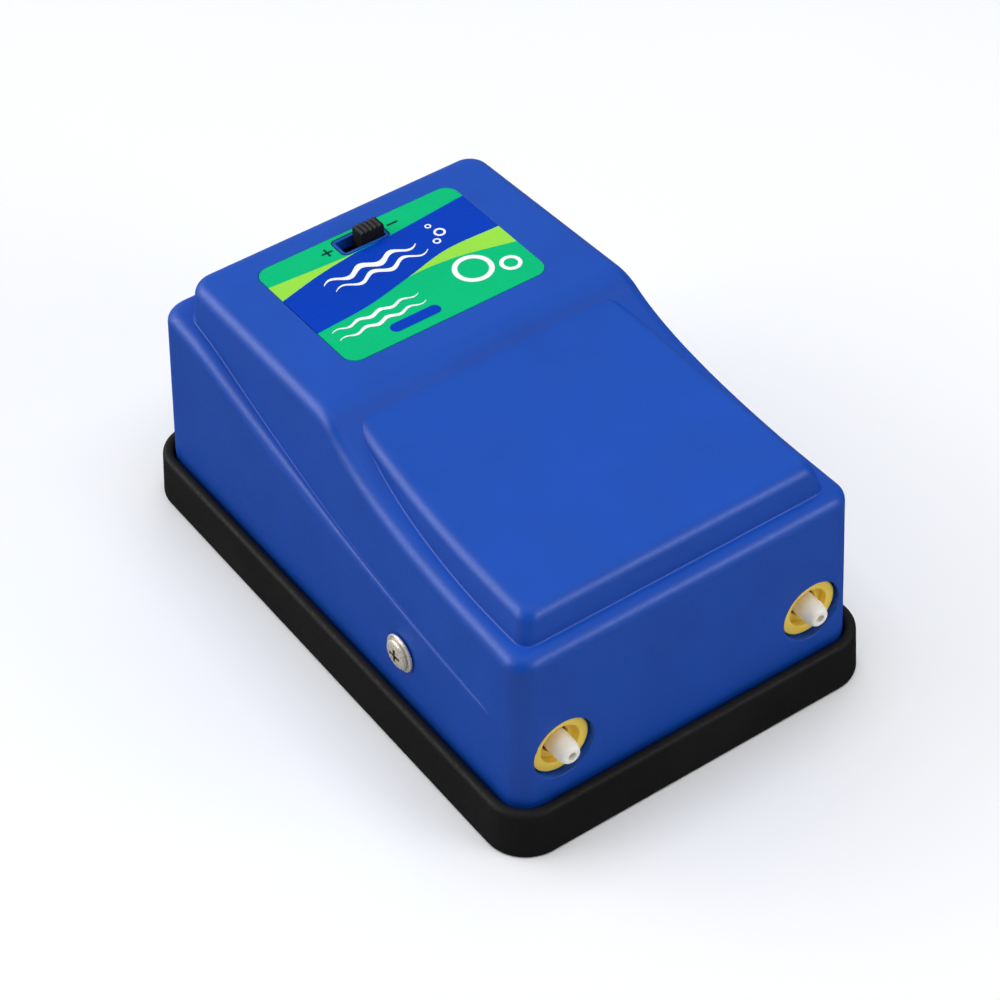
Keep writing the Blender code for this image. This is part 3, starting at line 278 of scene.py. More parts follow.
def surface(name, colour, roughness, grain, mottle, mottle_scale=90.0, rough_spread=0.06,
            stretch=(1, 1, 1), **sockets):
    """Make a material whose colour, gloss and relief vary over the surface.

    The colour is sRGB, grain is the relief's frequency per metre and its height in metres, and
    mottle is the share by which the colour varies.
    """
    made = bpy.data.materials.new(LOOK + name)
    made.use_nodes = True
    MATERIALS[name] = made
    tree = made.node_tree
    shader = set_inputs(tree.nodes["Principled BSDF"], sockets)
    place = add_node(tree, "TexCoord")
    mapping = add_node(tree, "Mapping", Scale=stretch)
    cloud = add_node(tree, "TexNoise", Scale=mottle_scale, Detail=4.0)
    fine = add_node(tree, "TexNoise", Scale=grain[0], Detail=2.0)
    low, high = NOISE_RANGE
    gloss = add_node(tree, "MapRange", From_Min=low, From_Max=high,
                     To_Min=roughness - rough_spread, To_Max=roughness + rough_spread)
    bump = add_node(tree, "Bump", Strength=1.0, Distance=grain[1])
    ramp = add_node(tree, "ValToRGB")
    for element, place_on, share in zip(ramp.color_ramp.elements, NOISE_RANGE, (-mottle, mottle)):
        element.position = place_on
        element.color = (*(min(c * (1 + share), 1.0) for c in srgb(colour)), 1.0)
    link_all(tree, [
        (place, "Object", mapping, "Vector"), (mapping, "Vector", cloud, "Vector"),
        (mapping, "Vector", fine, "Vector"), (cloud, "Fac", ramp, "Fac"),
        (ramp, "Color", shader, "Base Color"), (fine, "Fac", gloss, "Value"),
        (gloss, "Result", shader, "Roughness"), (fine, "Fac", bump, "Height"),
        (bump, "Normal", shader, "Normal"),
    ])


surface("blue_abs", (5, 71, 173), 0.46, (2400, 2.4e-5), 0.05, rough_spread=0.05,
        Specular_IOR_Level=0.3)
surface("black_rubber", (28, 26, 26), 0.6, (2200, 2.2e-5), 0.16, mottle_scale=60, rough_spread=0.1,
        Specular_IOR_Level=0.12)
for ink, ink_colour, ink_roughness, ink_mottle in (
    ("green", (0, 184, 118), 0.3, 0.03), ("lime", (148, 218, 70), 0.3, 0.03),
    ("blue", (0, 58, 178), 0.3, 0.03), ("white", (240, 242, 246), 0.32, 0.02),
    ("dark", (8, 66, 62), 0.32, 0.05),
):
    surface(f"label_{ink}", ink_colour, ink_roughness, (900, 1.5e-6), ink_mottle,
            Specular_IOR_Level=0.06)
surface("black_plastic", (30, 28, 28), 0.5, (4000, 6e-6), 0.12, mottle_scale=700,
        Specular_IOR_Level=0.12)
surface("yellow_rubber", (250, 214, 80), 0.48, (1800, 6e-6), 0.05, Subsurface_Weight=0.1,
        Subsurface_Radius=(0.002, 0.001, 0.0004))
surface("white_plastic", (250, 245, 234), 0.42, (1400, 5e-6), 0.02, Subsurface_Weight=0.15,
        Subsurface_Radius=(0.002, 0.0015, 0.001))
surface("nickel", (238, 230, 216), 0.27, (1600, 1.5e-6), 0.03, mottle_scale=500, rough_spread=0.03,
        Metallic=0.45)
# painted shade: a darker brown laid on the faces of the screws' cross recesses, standing in for the
# shade that falls in them
surface("recess_painted_shade", (104, 82, 54), 0.6, (1600, 3e-6), 0.2, mottle_scale=900, Metallic=0.2)
surface("steel", (170, 172, 176), 0.34, (900, 6e-6), 0.08, mottle_scale=200, stretch=(1, 0.1, 1),
        rough_spread=0.12, Metallic=1.0)
surface("core_steel", (104, 106, 114), 0.46, (1500, 8e-6), 0.15, mottle_scale=250,
        rough_spread=0.12, Metallic=1.0)
surface("copper", (196, 110, 62), 0.32, (1200, 4e-6), 0.14, mottle_scale=350, Coat_Weight=0.6,
        Coat_Roughness=0.2, Metallic=1.0)
surface("magnet", (74, 74, 78), 0.42, (2400, 1.2e-5), 0.14, mottle_scale=500, rough_spread=0.12,
        Metallic=0.6)
surface("grey_plastic", (92, 95, 99), 0.5, (2200, 1e-5), 0.06)
surface("nylon", (214, 210, 196), 0.44, (1600, 6e-6), 0.04, Subsurface_Weight=0.15,
        Subsurface_Radius=(0.002, 0.0015, 0.001))
surface("soft_rubber", (52, 52, 54), 0.62, (2600, 1.2e-5), 0.12)
surface("felt", (214, 214, 206), 0.95, (3500, 1.2e-4), 0.12, mottle_scale=900, Sheen_Weight=0.6,
        Sheen_Roughness=0.5)
surface("brass", (214, 178, 100), 0.28, (1500, 5e-6), 0.08, mottle_scale=400, Metallic=1.0)
surface("wire_red", (178, 34, 30), 0.4, (2000, 5e-6), 0.06)
surface("wire_white", (226, 226, 220), 0.4, (2000, 5e-6), 0.04)


# ---- mesh helpers


@contextmanager
def edited(mesh):
    """The mesh as a bmesh, which is written back afterwards."""
    bm = bmesh.new()
    bm.from_mesh(mesh)
    yield bm
    bm.to_mesh(mesh)
    bm.free()


def tidy_mesh(mesh):
    """Merge doubled points, face the surface outwards and mark its hard edges."""
    with edited(mesh) as bm:
        bmesh.ops.remove_doubles(bm, verts=bm.verts, dist=WELD)
        bmesh.ops.dissolve_degenerate(bm, dist=WELD, edges=bm.edges)
        bmesh.ops.recalc_face_normals(bm, faces=bm.faces)
    mesh.shade_smooth()
    mesh.set_sharp_from_angle(angle=SMOOTH_ANGLE)


def put(name, data):
    """Put an object with this data in the scene."""
    obj = bpy.data.objects.new(name, data)
    bpy.context.scene.collection.objects.link(obj)
    return obj


def add(name, points, faces, finish=None, place=None):
    """Make an object from points in millimetres, moved by the matrix place."""
    mesh = bpy.data.meshes.new(name)
    mesh.from_pydata([Vector(p) * MM for p in points], [], faces)
    if place:
        mesh.transform(place)
    tidy_mesh(mesh)
    if finish:
        mesh.materials.append(MATERIALS[finish])
    return put(name, mesh)


def bake(obj):
    """Replace an object's mesh with what its modifiers make of it, and remove the cutters."""
    helpers = [m.object for m in obj.modifiers if m.type == "BOOLEAN"]
    bpy.context.view_layer.update()
    graph = bpy.context.evaluated_depsgraph_get()
    mesh = bpy.data.meshes.new_from_object(obj.evaluated_get(graph), depsgraph=graph)
    obj.modifiers.clear()
    obj.data = mesh
    for helper in helpers:
        bpy.data.objects.remove(helper)


def boolean(obj, other, operation="DIFFERENCE"):
    modifier = obj.modifiers.new(operation, "BOOLEAN")
    modifier.operation = operation
    modifier.object = other
    other.hide_render = True


def weigh(obj):
    """Weight the shading by face area, so that the flats beside a rounding look flat."""
    modifier = obj.modifiers.new("shading", "WEIGHTED_NORMAL")
    modifier.keep_sharp = True
    modifier.weight = 100
    bake(obj)


def soften(obj, width, segments=2, angle=40):
    """Round the edges that are sharper than the angle, in degrees, by a true bevel."""
    tidy_mesh(obj.data)
    bevel = obj.modifiers.new("edges", "BEVEL")
    bevel.width = width * MM
    bevel.segments = segments
    bevel.limit_method = "ANGLE"
    bevel.angle_limit = radians(angle)
    bevel.use_clamp_overlap = True
    weigh(obj)


SQUARE = ((-1, -1), (1, -1), (1, 1), (-1, 1))


def band(first, second, count):
    """The faces between two closed loops of points, given by their first points' indices."""
    ahead = [(i + 1) % count for i in range(count)]
    return [(first + i, first + j, second + j, second + i) for i, j in enumerate(ahead)]


def skin_faces(first, count, loops):
    """The faces along a number of loops that follow each other in the points."""
    return [face for i in range(first, first + count * (loops - 1), count)
            for face in band(i, i + count, count)]


def stack(name, loops, finish, tube=False):
    """A body through closed loops of points, capped at its ends or joined up as a tube."""
    count = len(loops[0])
    last = count * (len(loops) - 1)
    faces = skin_faces(0, count, len(loops))
    faces += band(last, 0, count) if tube else [range(count), range(last, last + count)]
    return add(name, [p for loop in loops for p in loop], faces, finish)


def prism(name, outline, axis, low, high, finish=None, place=None):
    """Extrude a closed outline along an axis: (y, z) along X, (x, z) along Y, (x, y) along Z."""
    order = {"X": (2, 0, 1), "Y": (0, 2, 1), "Z": (0, 1, 2)}[axis]
    points = [[(a, b, level)[i] for i in order] for level in (low, high) for a, b in outline]
    count = len(outline)
    faces = [range(count), range(2 * count - 1, count - 1, -1)] + band(0, count, count)
    return add(name, points, faces, finish, place)


def box(name, low, high, place=None):
    outline = [(low[0], low[1]), (high[0], low[1]), (high[0], high[1]), (low[0], high[1])]
    return prism(name, outline, "Z", low[2], high[2], place=place)


def rounded_rectangle(centre, size, radius, steps=6):
    half = (size[0] / 2 - radius, size[1] / 2 - radius)
    outline = []
    for quarter, (sx, sy) in enumerate(((1, 1), (-1, 1), (-1, -1), (1, -1))):
        for step in range(steps + 1):
            angle = pi / 2 * (quarter + step / steps)
            x = centre[0] + sx * half[0] + radius * cos(angle)
            y = centre[1] + sy * half[1] + radius * sin(angle)
            outline.append((x, y))
    return outline


def turned(name, profile, axis, centre, direction=1, finish=None, sides=ROUND, place=None):
    """Turn a closed profile of (radius, height) points about an axis through centre."""
    units = Matrix.Identity(3)
    along, across, up = [units["XYZ".index(axis) - 3 + turn] for turn in range(3)]
    points = []
    loops = []
    for radius, height in profile:
        middle = Vector(centre) + along * height * direction
        count = sides if radius else 1
        loops.append([len(points) + i % count for i in range(sides)])
        for i in range(count):
            angle = 2 * pi * i / sides
            points.append(middle + (across * cos(angle) + up * sin(angle)) * radius)
    faces = []
    for loop, following in zip(loops, loops[1:] + loops[:1]):
        for i in range(sides):
            j = (i + 1) % sides
            corners = list(dict.fromkeys((loop[i], loop[j], following[j], following[i])))
            if len(corners) > 2:
                faces.append(corners)
    return add(name, points, faces, finish, place)


def drill(body, name, axis, centre, radius, low, high, sides=ROUND):
    profile = [(0, low), (radius, low), (radius, high), (0, high)]
    boolean(body, turned(name, profile, axis, centre, sides=sides))


def arc(centre, radius, start, end, steps):
    """Points on an arc, with angles in degrees."""
    angles = [radians(start + (end - start) * i / steps) for i in range(steps + 1)]
    return [(centre[0] + radius * cos(a), centre[1] + radius * sin(a)) for a in angles]


def span(side, inner, outer):
    return sorted((side * inner, side * outer))


def stand_for(piece, node):
    """Let a finished piece take a CAD node's place on the node's own body."""
    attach(piece, frame["nodes"][node]["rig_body"])
    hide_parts(node)


# ---- rings of the cover


# One loop round a body: its height by y, half width by y and z, end walls by z, corner radius
Ring = namedtuple("Ring", "height half_width front rear corner")


def ring_points(ring, stations):
    """The right side from front to rear, then its mirror image from rear to front."""
    quarter = [pi / 2 * i / CORNER_STEPS for i in range(CORNER_STEPS + 1)]
    marks = [("front", angle) for angle in quarter]
    marks += [("side", y) for y in stations]
    marks += [("rear", angle) for angle in reversed(quarter)]
    right = []
    for kind, value in marks:
        y = {"front": stations[0], "side": value, "rear": stations[-1]}[kind]
        back = 0.0
        for _ in range(SETTLE_STEPS):
            z = ring.height(y)
            if kind == "front":
                y = ring.front(z) + ring.corner * (1 - cos(value))
            if kind == "rear":
                y = ring.rear(z) - ring.corner * (1 - cos(value))
        if kind != "side":
            back = ring.corner * (1 - sin(value))
        right.append((ring.half_width(y, z) - back, y, z))
    return right + [(-x, y, z) for x, y, z in reversed(right)]


def strip_cap(first, count):
    half = count // 2
    return [
        (first + i, first + i + 1, first + count - 2 - i, first + count - 1 - i)
        for i in range(half - 1)
    ]


def ring_body(name, rings, stations):
    loops = [ring_points(ring, stations) for ring in rings]
    count = len(loops[0])
    points = [p for loop in loops for p in loop]
    faces = skin_faces(0, count, len(loops))
    faces += strip_cap(0, count) + strip_cap(count * (len(loops) - 1), count)
    return add(name, points, faces)


def ring_shell(name, outer, inner, stations, finish):
    outer_loops, inner_loops = [[ring_points(ring, stations) for ring in rings]
                                for rings in (outer, inner)]
    count = len(outer_loops[0])
    start = count * len(outer_loops)
    points = [p for loop in outer_loops + inner_loops for p in loop]
    faces = skin_faces(0, count, len(outer_loops)) + strip_cap(start - count, count)
    faces += skin_faces(start, count, len(inner_loops))
    faces += strip_cap(len(points) - count, count) + band(0, start, count)
    return add(name, points, faces, finish)


def bezier(points, steps):
    degree = len(points) - 1
    made = []
    for step in range(steps + 1):
        t = step / steps
        weights = [comb(degree, k) * t**k * (1 - t) ** (degree - k) for k in range(degree + 1)]
        made.append(tuple(sum(w * p[axis] for w, p in zip(weights, points)) for axis in (0, 1)))
    return made


def top_profile():
    bend = bezier((PANEL_FRONT, BEND_CORNER, BEND_END), 24)
    slope = bezier((BEND_END, *SLOPE_HANDLES, SLOPE_END), 60)
    line = [PANEL_REAR] + bend + slope[1:] + [(-COVER_HALF_LENGTH, SLOPE_END[1])]
    return np.array(line[::-1])


TOP = top_profile()


def top_z(y):
    if y > PANEL_REAR[0]:
        tilt = (PANEL_REAR[1] - PANEL_FRONT[1]) / (PANEL_REAR[0] - PANEL_FRONT[0])
        return PANEL_REAR[1] + tilt * (y - PANEL_REAR[0])
    return float(np.interp(y, TOP[:, 0], TOP[:, 1]))


def ledge_z(y):
    behind = max(y - LEDGE_LEVEL_Y, 0.0)
    return LEDGE_MIDDLE_Z + LEDGE_SLOPE * y + LEDGE_CURVE * y * y - LEDGE_LEVELLING * behind**2


def pad_z(y):
    return PAD_Z + PAD_SWEEP * max(y - PAD_LEVEL_Y, 0.0) ** 2


def pad_half_width(y):
    return PAD_HALF_WIDTH - PAD_FLARE * (y - PAD_FRONT_Y) ** 2


def above_rim(z):
    return max(z - DATUM_Z, 0.0)


def plinth_half_width(z):
    return COVER_HALF_WIDTH - WALL_LEAN * above_rim(z)


def cover_front(z):
    return -COVER_HALF_LENGTH + WALL_LEAN * above_rim(z)


def plinth_rear(z):
    return COVER_HALF_LENGTH - WALL_LEAN * above_rim(z)


def flank_hollow(y, z):
    """How far the flank is set in at its foot, which carries the ledge on to the front."""
    forward = max(-y, 0.0)
    share = min(max((FLANK_TOP - z) / FLANK_HEIGHT, 0.0), 1.0)
    depth = FLANK_HOLLOW * forward**2 / (forward + FLANK_EASE)
    depth -= FLANK_RUN_OUT * max(forward - FLANK_END, 0.0) ** 2
    return share * max(depth, 0.0)


def upper_half_width(y, z):
    wall = UPPER_HALF_WIDTH - UPPER_TAPER * y - UPPER_LEAN * z - flank_hollow(y, z)
    return min(wall, plinth_half_width(z))


def upper_rear(z):
    return min(UPPER_REAR - UPPER_LEAN * z, plinth_rear(z))


def ledge_width(y):
    z = ledge_z(y)
    return plinth_half_width(z) - upper_half_width(y, z)


def ledge_roll(y):
    return [min(LEDGE_RADIUS, share * ledge_width(y)) for share in LEDGE_ROLL]


def crease_radius(y):
    return min(CREASE_RADIUS, CREASE_SHARE * ledge_width(y))


def wall_ring(height, half_width, rear, inset, corner):
    return Ring(
        height,
        lambda y, z: half_width(y, z) - inset,
        lambda z: cover_front(z) + inset,
        lambda z: rear(z) - inset,
        max(corner - inset, LEAST_CORNER),
    )


def plinth_ring(height, inset=0.0, corner=COVER_CORNER):
    return wall_ring(height, lambda y, z: plinth_half_width(z), plinth_rear, inset, corner)


def upper_ring(height, inset=0.0):
    return wall_ring(height, upper_half_width, upper_rear, inset, TOP_CORNER)


def ledge_ring(angle):
    sink = 1 - sin(angle)
    inset = 1 - cos(angle)
    return Ring(
        lambda y: ledge_z(y) - ledge_roll(y)[1] * sink,
        lambda y, z: plinth_half_width(z) - ledge_roll(y)[0] * inset,
        cover_front,
        lambda z: plinth_rear(z) - LEDGE_RADIUS * inset,
        LEDGE_CORNER,
    )


def crease_ring(angle):
    """A ring on the small concave fillet between the ledge and the upper wall."""
    rise = 1 - cos(angle)
    out = 1 - sin(angle)
    return Ring(
        lambda y: ledge_z(y) + crease_radius(y) * rise,
        lambda y, z: upper_half_width(y, z) + crease_radius(y) * out,
        cover_front,
        lambda z: upper_rear(z) + CREASE_RADIUS * out,
        LEDGE_CORNER,
    )


def shoulder_ring(angle):
    sink = SHOULDER_RADIUS * (1 - sin(angle))
    return upper_ring(lambda y: top_z(y) - sink, SHOULDER_RADIUS * (1 - cos(angle)))


def pad_ring(height, inset=0.0):
    return Ring(
        height,
        lambda y, z: pad_half_width(y) + PAD_LEAN * (pad_z(y) - z) - inset,
        lambda z: PAD_FRONT_Y - PAD_LEAN * (pad_z(PAD_FRONT_Y) - z) + inset,
        lambda z: PAD_REAR_Y - inset,
        max(PAD_CORNER - inset, LEAST_PAD_CORNER),
    )


def quarter_angles(steps):
    return [pi / 2 * i / steps for i in range(1, steps + 1)]


# ---- cover


def panel_place():
    """Matrix of the tilted panel's frame, whose origin is the middle of the label."""
    rise = PANEL_FRONT[1] - PANEL_REAR[1]
    run = PANEL_REAR[0] - PANEL_FRONT[0]
    middle = Vector((0, LABEL_CENTRE_Y, top_z(LABEL_CENTRE_Y))) * MM
    return Matrix.Translation(middle) @ Matrix.Rotation(-atan2(rise, run), 4, "X")


PANEL = panel_place()


def cover_shell():
    outer = [plinth_ring(lambda y: COVER_BOTTOM), plinth_ring(lambda y: DATUM_Z)]
    outer += [plinth_ring(lambda y: ledge_z(y) - ledge_roll(y)[1], corner=LEDGE_CORNER)]
    outer += [ledge_ring(angle) for angle in quarter_angles(FILLET_STEPS)]
    outer += [crease_ring(angle) for angle in [0.0] + quarter_angles(4)]
    outer += [upper_ring(lambda y: top_z(y) - SHOULDER_RADIUS)]
    outer += [shoulder_ring(angle) for angle in quarter_angles(FILLET_STEPS)]
    inner = [
        plinth_ring(lambda y: COVER_BOTTOM, WALL),
        plinth_ring(lambda y: ledge_z(y) - WALL, WALL),
        upper_ring(lambda y: ledge_z(y) - WALL + OVERLAP, WALL),
        upper_ring(lambda y: top_z(y) - WALL, WALL),
    ]
    return ring_shell("cover_moulding", outer, inner, SIDE_STATIONS, "blue_abs")


def foot_ring(angle):
    """A ring on the small concave fillet where the pad stands up from the slope."""
    out = FOOT_FILLET * (1 - sin(angle))
    rise = FOOT_FILLET * (1 - cos(angle))
    sink = 0.01  # keeps the fillet's thin edge just under the slope
    return Ring(
        lambda y: min(top_z(y) + rise * foot_share(y), pad_z(y) - PAD_RADIUS) - sink,
        lambda y, z: pad_half_width(y) + PAD_LEAN * (pad_z(y) - z) + out * foot_share(y),
        lambda z: PAD_FRONT_Y - PAD_LEAN * (pad_z(PAD_FRONT_Y) - z) - out,
        lambda z: PAD_REAR_Y,
        PAD_CORNER + out,
    )


def foot_share(y):
    """How much of the foot's fillet is left where the pad sinks into the slope."""
    stands = pad_z(y) - PAD_RADIUS - top_z(y)
    return min(max(stands / FOOT_FADE, 0.0), 1.0)


def pad_body():
    buried = WALL / 2
    rings = [pad_ring(lambda y: min(top_z(y), pad_z(y)) - buried)]
    rings += [foot_ring(angle) for angle in [0.0] + quarter_angles(5)]
    for angle in [0.0] + quarter_angles(FILLET_STEPS):
        sink = PAD_RADIUS * (1 - sin(angle))
        inset = PAD_RADIUS * (1 - cos(angle))
        rings.append(pad_ring(
            lambda y, s=sink: max(pad_z(y) - s, top_z(y) - buried + OVERLAP), inset))
    return ring_body("pad_form", rings, PAD_STATIONS)


def pad_hollow():
    reach = 2.0
    clear = 0.02
    rings = [
        pad_ring(lambda y: top_z(y) - WALL - reach, WALL),
        pad_ring(lambda y: max(pad_z(y), top_z(y)) - WALL - clear, WALL),
    ]
    return ring_body("pad_hollow", rings, PAD_STATIONS[:-3])


def slot_outline(grow):
    centre = (SLOT_CENTRE[0], SLOT_CENTRE[1] - LABEL_CENTRE_Y)
    size = (SLOT_SIZE[0] + 2 * grow, SLOT_SIZE[1] + 2 * grow)
    return rounded_rectangle(centre, size, SLOT_CORNER + grow, 4)


def rim_weight(x, y, z):
    """The rounding of an edge whose middle is here, as a share of LIP_RADIUS."""
    past_bend = y > 10 and z > 48
    by_outlets = abs(y) > 50 and abs(x) < 32 and 10 < z < 30
    by_screw = abs(y - SCREW_Y) < 4
    if past_bend and abs(z - top_z(y)) < NEAR:
        return RECESS_LIP / LIP_RADIUS
    on_end = by_outlets and abs(abs(y) - plinth_rear(z)) < NEAR
    on_side = by_screw and abs(abs(x) - plinth_half_width(z)) < NEAR
    return 1.0 if on_end or on_side else 0.0


def round_rims(cover):
    with edited(cover.data) as bm:
        layer = bm.edges.layers.float.new("bevel_weight_edge")
        for edge in bm.edges:
            if len(edge.link_faces) == 2 and edge.calc_face_angle() >= RIM_ANGLE:
                edge[layer] = rim_weight(*(edge.verts[0].co + edge.verts[1].co) / (2 * MM))
    bevel = cover.modifiers.new("rims", "BEVEL")
    bevel.limit_method = "WEIGHT"
    bevel.width = LIP_RADIUS * MM
    bevel.segments = 3
    bevel.use_clamp_overlap = False
    weigh(cover)


def make_cover():
    cover = cover_shell()
    boolean(cover, pad_body(), "UNION")
    boolean(cover, pad_hollow())
    size = [length + 2 * LABEL_FIT for length in LABEL_SIZE]
    outline = rounded_rectangle((0, 0), size, LABEL_CORNER + LABEL_FIT, 8)
    floor = -LABEL_THICKNESS - LABEL_FIT
    boolean(cover, prism("label_recess", outline, "Z", floor, CLEAR, place=PANEL))
    lip = prism("slot_lip", slot_outline(SLOT_LIP), "Z", -WALL / 2, 0, place=PANEL)
    boolean(cover, lip, "UNION")
    boolean(cover, prism("slot_cut", slot_outline(0), "Z", -WALL - CLEAR, CLEAR, place=PANEL))
    for side in (-1, 1):
        drill(cover, "outlet_hole", "Y", (side * OUTLET_X, 0, AXIS_Z), OUTLET_HOLE_RADIUS,
              -COVER_HALF_LENGTH - CLEAR, -COVER_HALF_LENGTH + WALL + CLEAR)
        drill(cover, "screw_hole", "X", (0, SCREW_Y, AXIS_Z), BOSS_HOLE_RADIUS,
              *span(side, COVER_HALF_WIDTH - CLEAR - 1, COVER_HALF_WIDTH + 2))
    drill(cover, "cord_hole", "Y", (0, 0, CORD_Z), GROMMET_WAIST,
          COVER_HALF_LENGTH - WALL - CLEAR, COVER_HALF_LENGTH + CLEAR)
    bake(cover)
    tidy_mesh(cover.data)
    round_rims(cover)
    stand_for(cover, "cover")


# ---- base boot


def make_boot():
    rim = RIM_THICKNESS / 2
    cove = 0.8
    inner = BASE_DRAFT + RIM_THICKNESS
    levels = [(FOOT_EDGE, 0.0)] + arc((FOOT_EDGE, FOOT_EDGE), FOOT_EDGE, 270, 180, 4)[1:]
    levels += arc((BASE_DRAFT + rim, BASE_HEIGHT - rim), rim, 176, 0, 14)
    levels += arc((inner + cove, BASE_FLOOR + cove), cove, 180, 270, 4)
    loops = []
    for inset, z in levels:
        size = (BASE_WIDTH - 2 * inset, BASE_LENGTH - 2 * inset)
        outline = rounded_rectangle((0, 0), size, BASE_CORNER - inset, 12)
        loops.append([(x, y, z) for x, y in outline])
    boot = stack("boot_moulding", loops, "black_rubber")
    half = CHANNEL_SIZE[0] / 2
    drill(boot, "boot_inlet", "Z", (*INLET, 0), INLET_RADIUS, -CLEAR, BASE_FLOOR + CLEAR)
    boolean(boot, box("boot_channel", (-half, INLET[1] - half, -CLEAR),
                      (BASE_WIDTH / 2 + CLEAR, INLET[1] + half, CHANNEL_SIZE[1])))
    bake(boot)
    weigh(boot)
    stand_for(boot, "base_boot")


# ---- label


WINDOW_GROW = SLOT_LIP + GAP  # the label's window reaches this far past the slot
WINDOW_HALF = SLOT_SIZE[0] / 2 + WINDOW_GROW
WINDOW_CORNER = SLOT_CORNER + WINDOW_GROW
WINDOW_Y = SLOT_CENTRE[1] - LABEL_CENTRE_Y


def corner_drop(into_corner, radius):
    """How far an edge has fallen back at a place this far into its rounded corner."""
    if into_corner <= 0:
        return 0.0
    return radius - sqrt(max(radius**2 - into_corner**2, 0.0))


def label_edges(x):
    """Front and rear edge of the label at x, with its rounded corners."""
    half_x, half_y = LABEL_SIZE[0] / 2, LABEL_SIZE[1] / 2
    drop = corner_drop(abs(x) - (half_x - LABEL_CORNER), LABEL_CORNER)
    return -half_y + drop, half_y - drop


# Where the printed bands meet, rear to front, as (x, y) points on the label
BANDS = [
    ("label_green", [(-20.5, 10.3), (-3.2, 9.3), (20.5, 11.1)]),
    ("label_lime", [(-20.5, 5.8), (-12.0, 7.9), (-3.2, 9.3), (20.5, 11.1)]),
    ("label_blue", [(-20.5, -5.1), (-9.0, -4.1), (0.1, -2.0), (9.0, 0.2), (20.5, 0.1)]),
    ("label_lime", [(-20.5, -5.1), (-9.0, -4.1), (0.1, -2.0), (9.0, -2.4), (20.5, -5.3)]),
    ("label_green", None),
]


def band_line(points, x):
    """A smooth line through the band's points: a cubic between each pair of neighbours."""
    xs = [p[0] for p in points]
    ys = [p[1] for p in points]
    slopes = np.gradient(ys, xs)
    i = min(max(int(np.searchsorted(xs, x)) - 1, 0), len(xs) - 2)
    run = xs[i + 1] - xs[i]
    t = (x - xs[i]) / run
    return (
        (2 * t**3 - 3 * t**2 + 1) * ys[i]
        + (t**3 - 2 * t**2 + t) * run * slopes[i]
        + (3 * t**2 - 2 * t**3) * ys[i + 1]
        + (t**3 - t**2) * run * slopes[i + 1]
    )


def window_edges(x):
    """Rear and front edge of the label's window round the switch slot, which meet beside it."""
    offset = abs(x - SLOT_CENTRE[0])
    if offset >= WINDOW_HALF:
        return WINDOW_Y, WINDOW_Y
    half_y = SLOT_SIZE[1] / 2 + WINDOW_GROW
    drop = corner_drop(offset - (WINDOW_HALF - WINDOW_CORNER), WINDOW_CORNER)
    return WINDOW_Y + half_y - drop, WINDOW_Y - half_y + drop


def label_stations():
    """X of the columns that the label is made of, with the window's and corners' own."""
    half = LABEL_SIZE[0] / 2
    stations = set(np.round(np.linspace(-half, half, 83), 4))
    for sign in (-1, 1):
        for _, y in arc((0, 0), LABEL_CORNER, 0, 90, 8):
            stations.add(round(sign * (half - LABEL_CORNER + y), 4))
        edge = SLOT_CENTRE[0] + sign * WINDOW_HALF
        for _, y in arc((0, 0), WINDOW_CORNER, 0, 90, 6):
            stations.add(round(edge - sign * (WINDOW_CORNER - y), 4))
    return sorted(stations)


def column_cuts(x, inside):
    """The y values that split a column into bands, rear to front, then the window's edges."""
    low, high = label_edges(x)
    lines = [high] + [min(max(band_line(b[1], x), low), high) for b in BANDS[:-1]] + [low]
    for i in range(1, len(lines)):
        lines[i] = min(lines[i], lines[i - 1])
    if not inside:
        return lines
    return lines + list(window_edges(x))


def label_quads():
    """The label's faces, column by column, each as its four corners and its band's finish."""
    quads = []

    def quad(x0, x1, top0, top1, low0, low1, finish):
        if max(top0 - low0, top1 - low1) >= 1e-4:
            corners = [(x0, top0, 0), (x0, low0, 0), (x1, low1, 0), (x1, top1, 0)]
            quads.append((corners, finish))

    stations = label_stations()
    for x0, x1 in zip(stations, stations[1:]):
        inside = abs((x0 + x1) / 2 - SLOT_CENTRE[0]) < WINDOW_HALF
        a, b = column_cuts(x0, inside), column_cuts(x1, inside)
        for i, (finish, _) in enumerate(BANDS):
            if not inside:
                quad(x0, x1, a[i], b[i], a[i + 1], b[i + 1], finish)
                continue
            rear_a, rear_b = max(a[i + 1], min(a[i], a[-2])), max(b[i + 1], min(b[i], b[-2]))
            front_a, front_b = min(a[i], max(a[i + 1], a[-1])), min(b[i], max(b[i + 1], b[-1]))
            quad(x0, x1, a[i], b[i], rear_a, rear_b, finish)
            quad(x0, x1, front_a, front_b, a[i + 1], b[i + 1], finish)
    return quads


def make_label():
    """Label plate made of columns, so that each printed band is its own set of faces."""
    inks = ["label_green", "label_lime", "label_blue"]
    quads = label_quads()
    points = [Vector(p) * MM for corners, _ in quads for p in corners]
    faces = [range(4 * i, 4 * i + 4) for i in range(len(quads))]
    mesh = bpy.data.meshes.new("label_print")
    mesh.from_pydata(points, [], faces)
    for ink in inks:
        mesh.materials.append(MATERIALS[ink])
    mesh.polygons.foreach_set("material_index", [inks.index(finish) for _, finish in quads])
    with edited(mesh) as bm:
        bmesh.ops.remove_doubles(bm, verts=bm.verts, dist=2e-6)
        bmesh.ops.dissolve_degenerate(bm, dist=1e-6, edges=bm.edges)
        bmesh.ops.recalc_face_normals(bm, faces=bm.faces)
        if sum(f.normal.z for f in bm.faces) < 0:
            bmesh.ops.reverse_faces(bm, faces=bm.faces)
    mesh.transform(PANEL)
    label = put("label_print", mesh)
    thick = label.modifiers.new("thickness", "SOLIDIFY")
    thick.thickness = LABEL_THICKNESS * MM
    thick.offset = -1
    bake(label)
    stand_for(label, "label")


MARK_HEIGHT = 0.05  # how far the printed marks stand proud of the label
MARK_SINK = 0.1


def print_mark(mark):
    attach(mark, "housing")


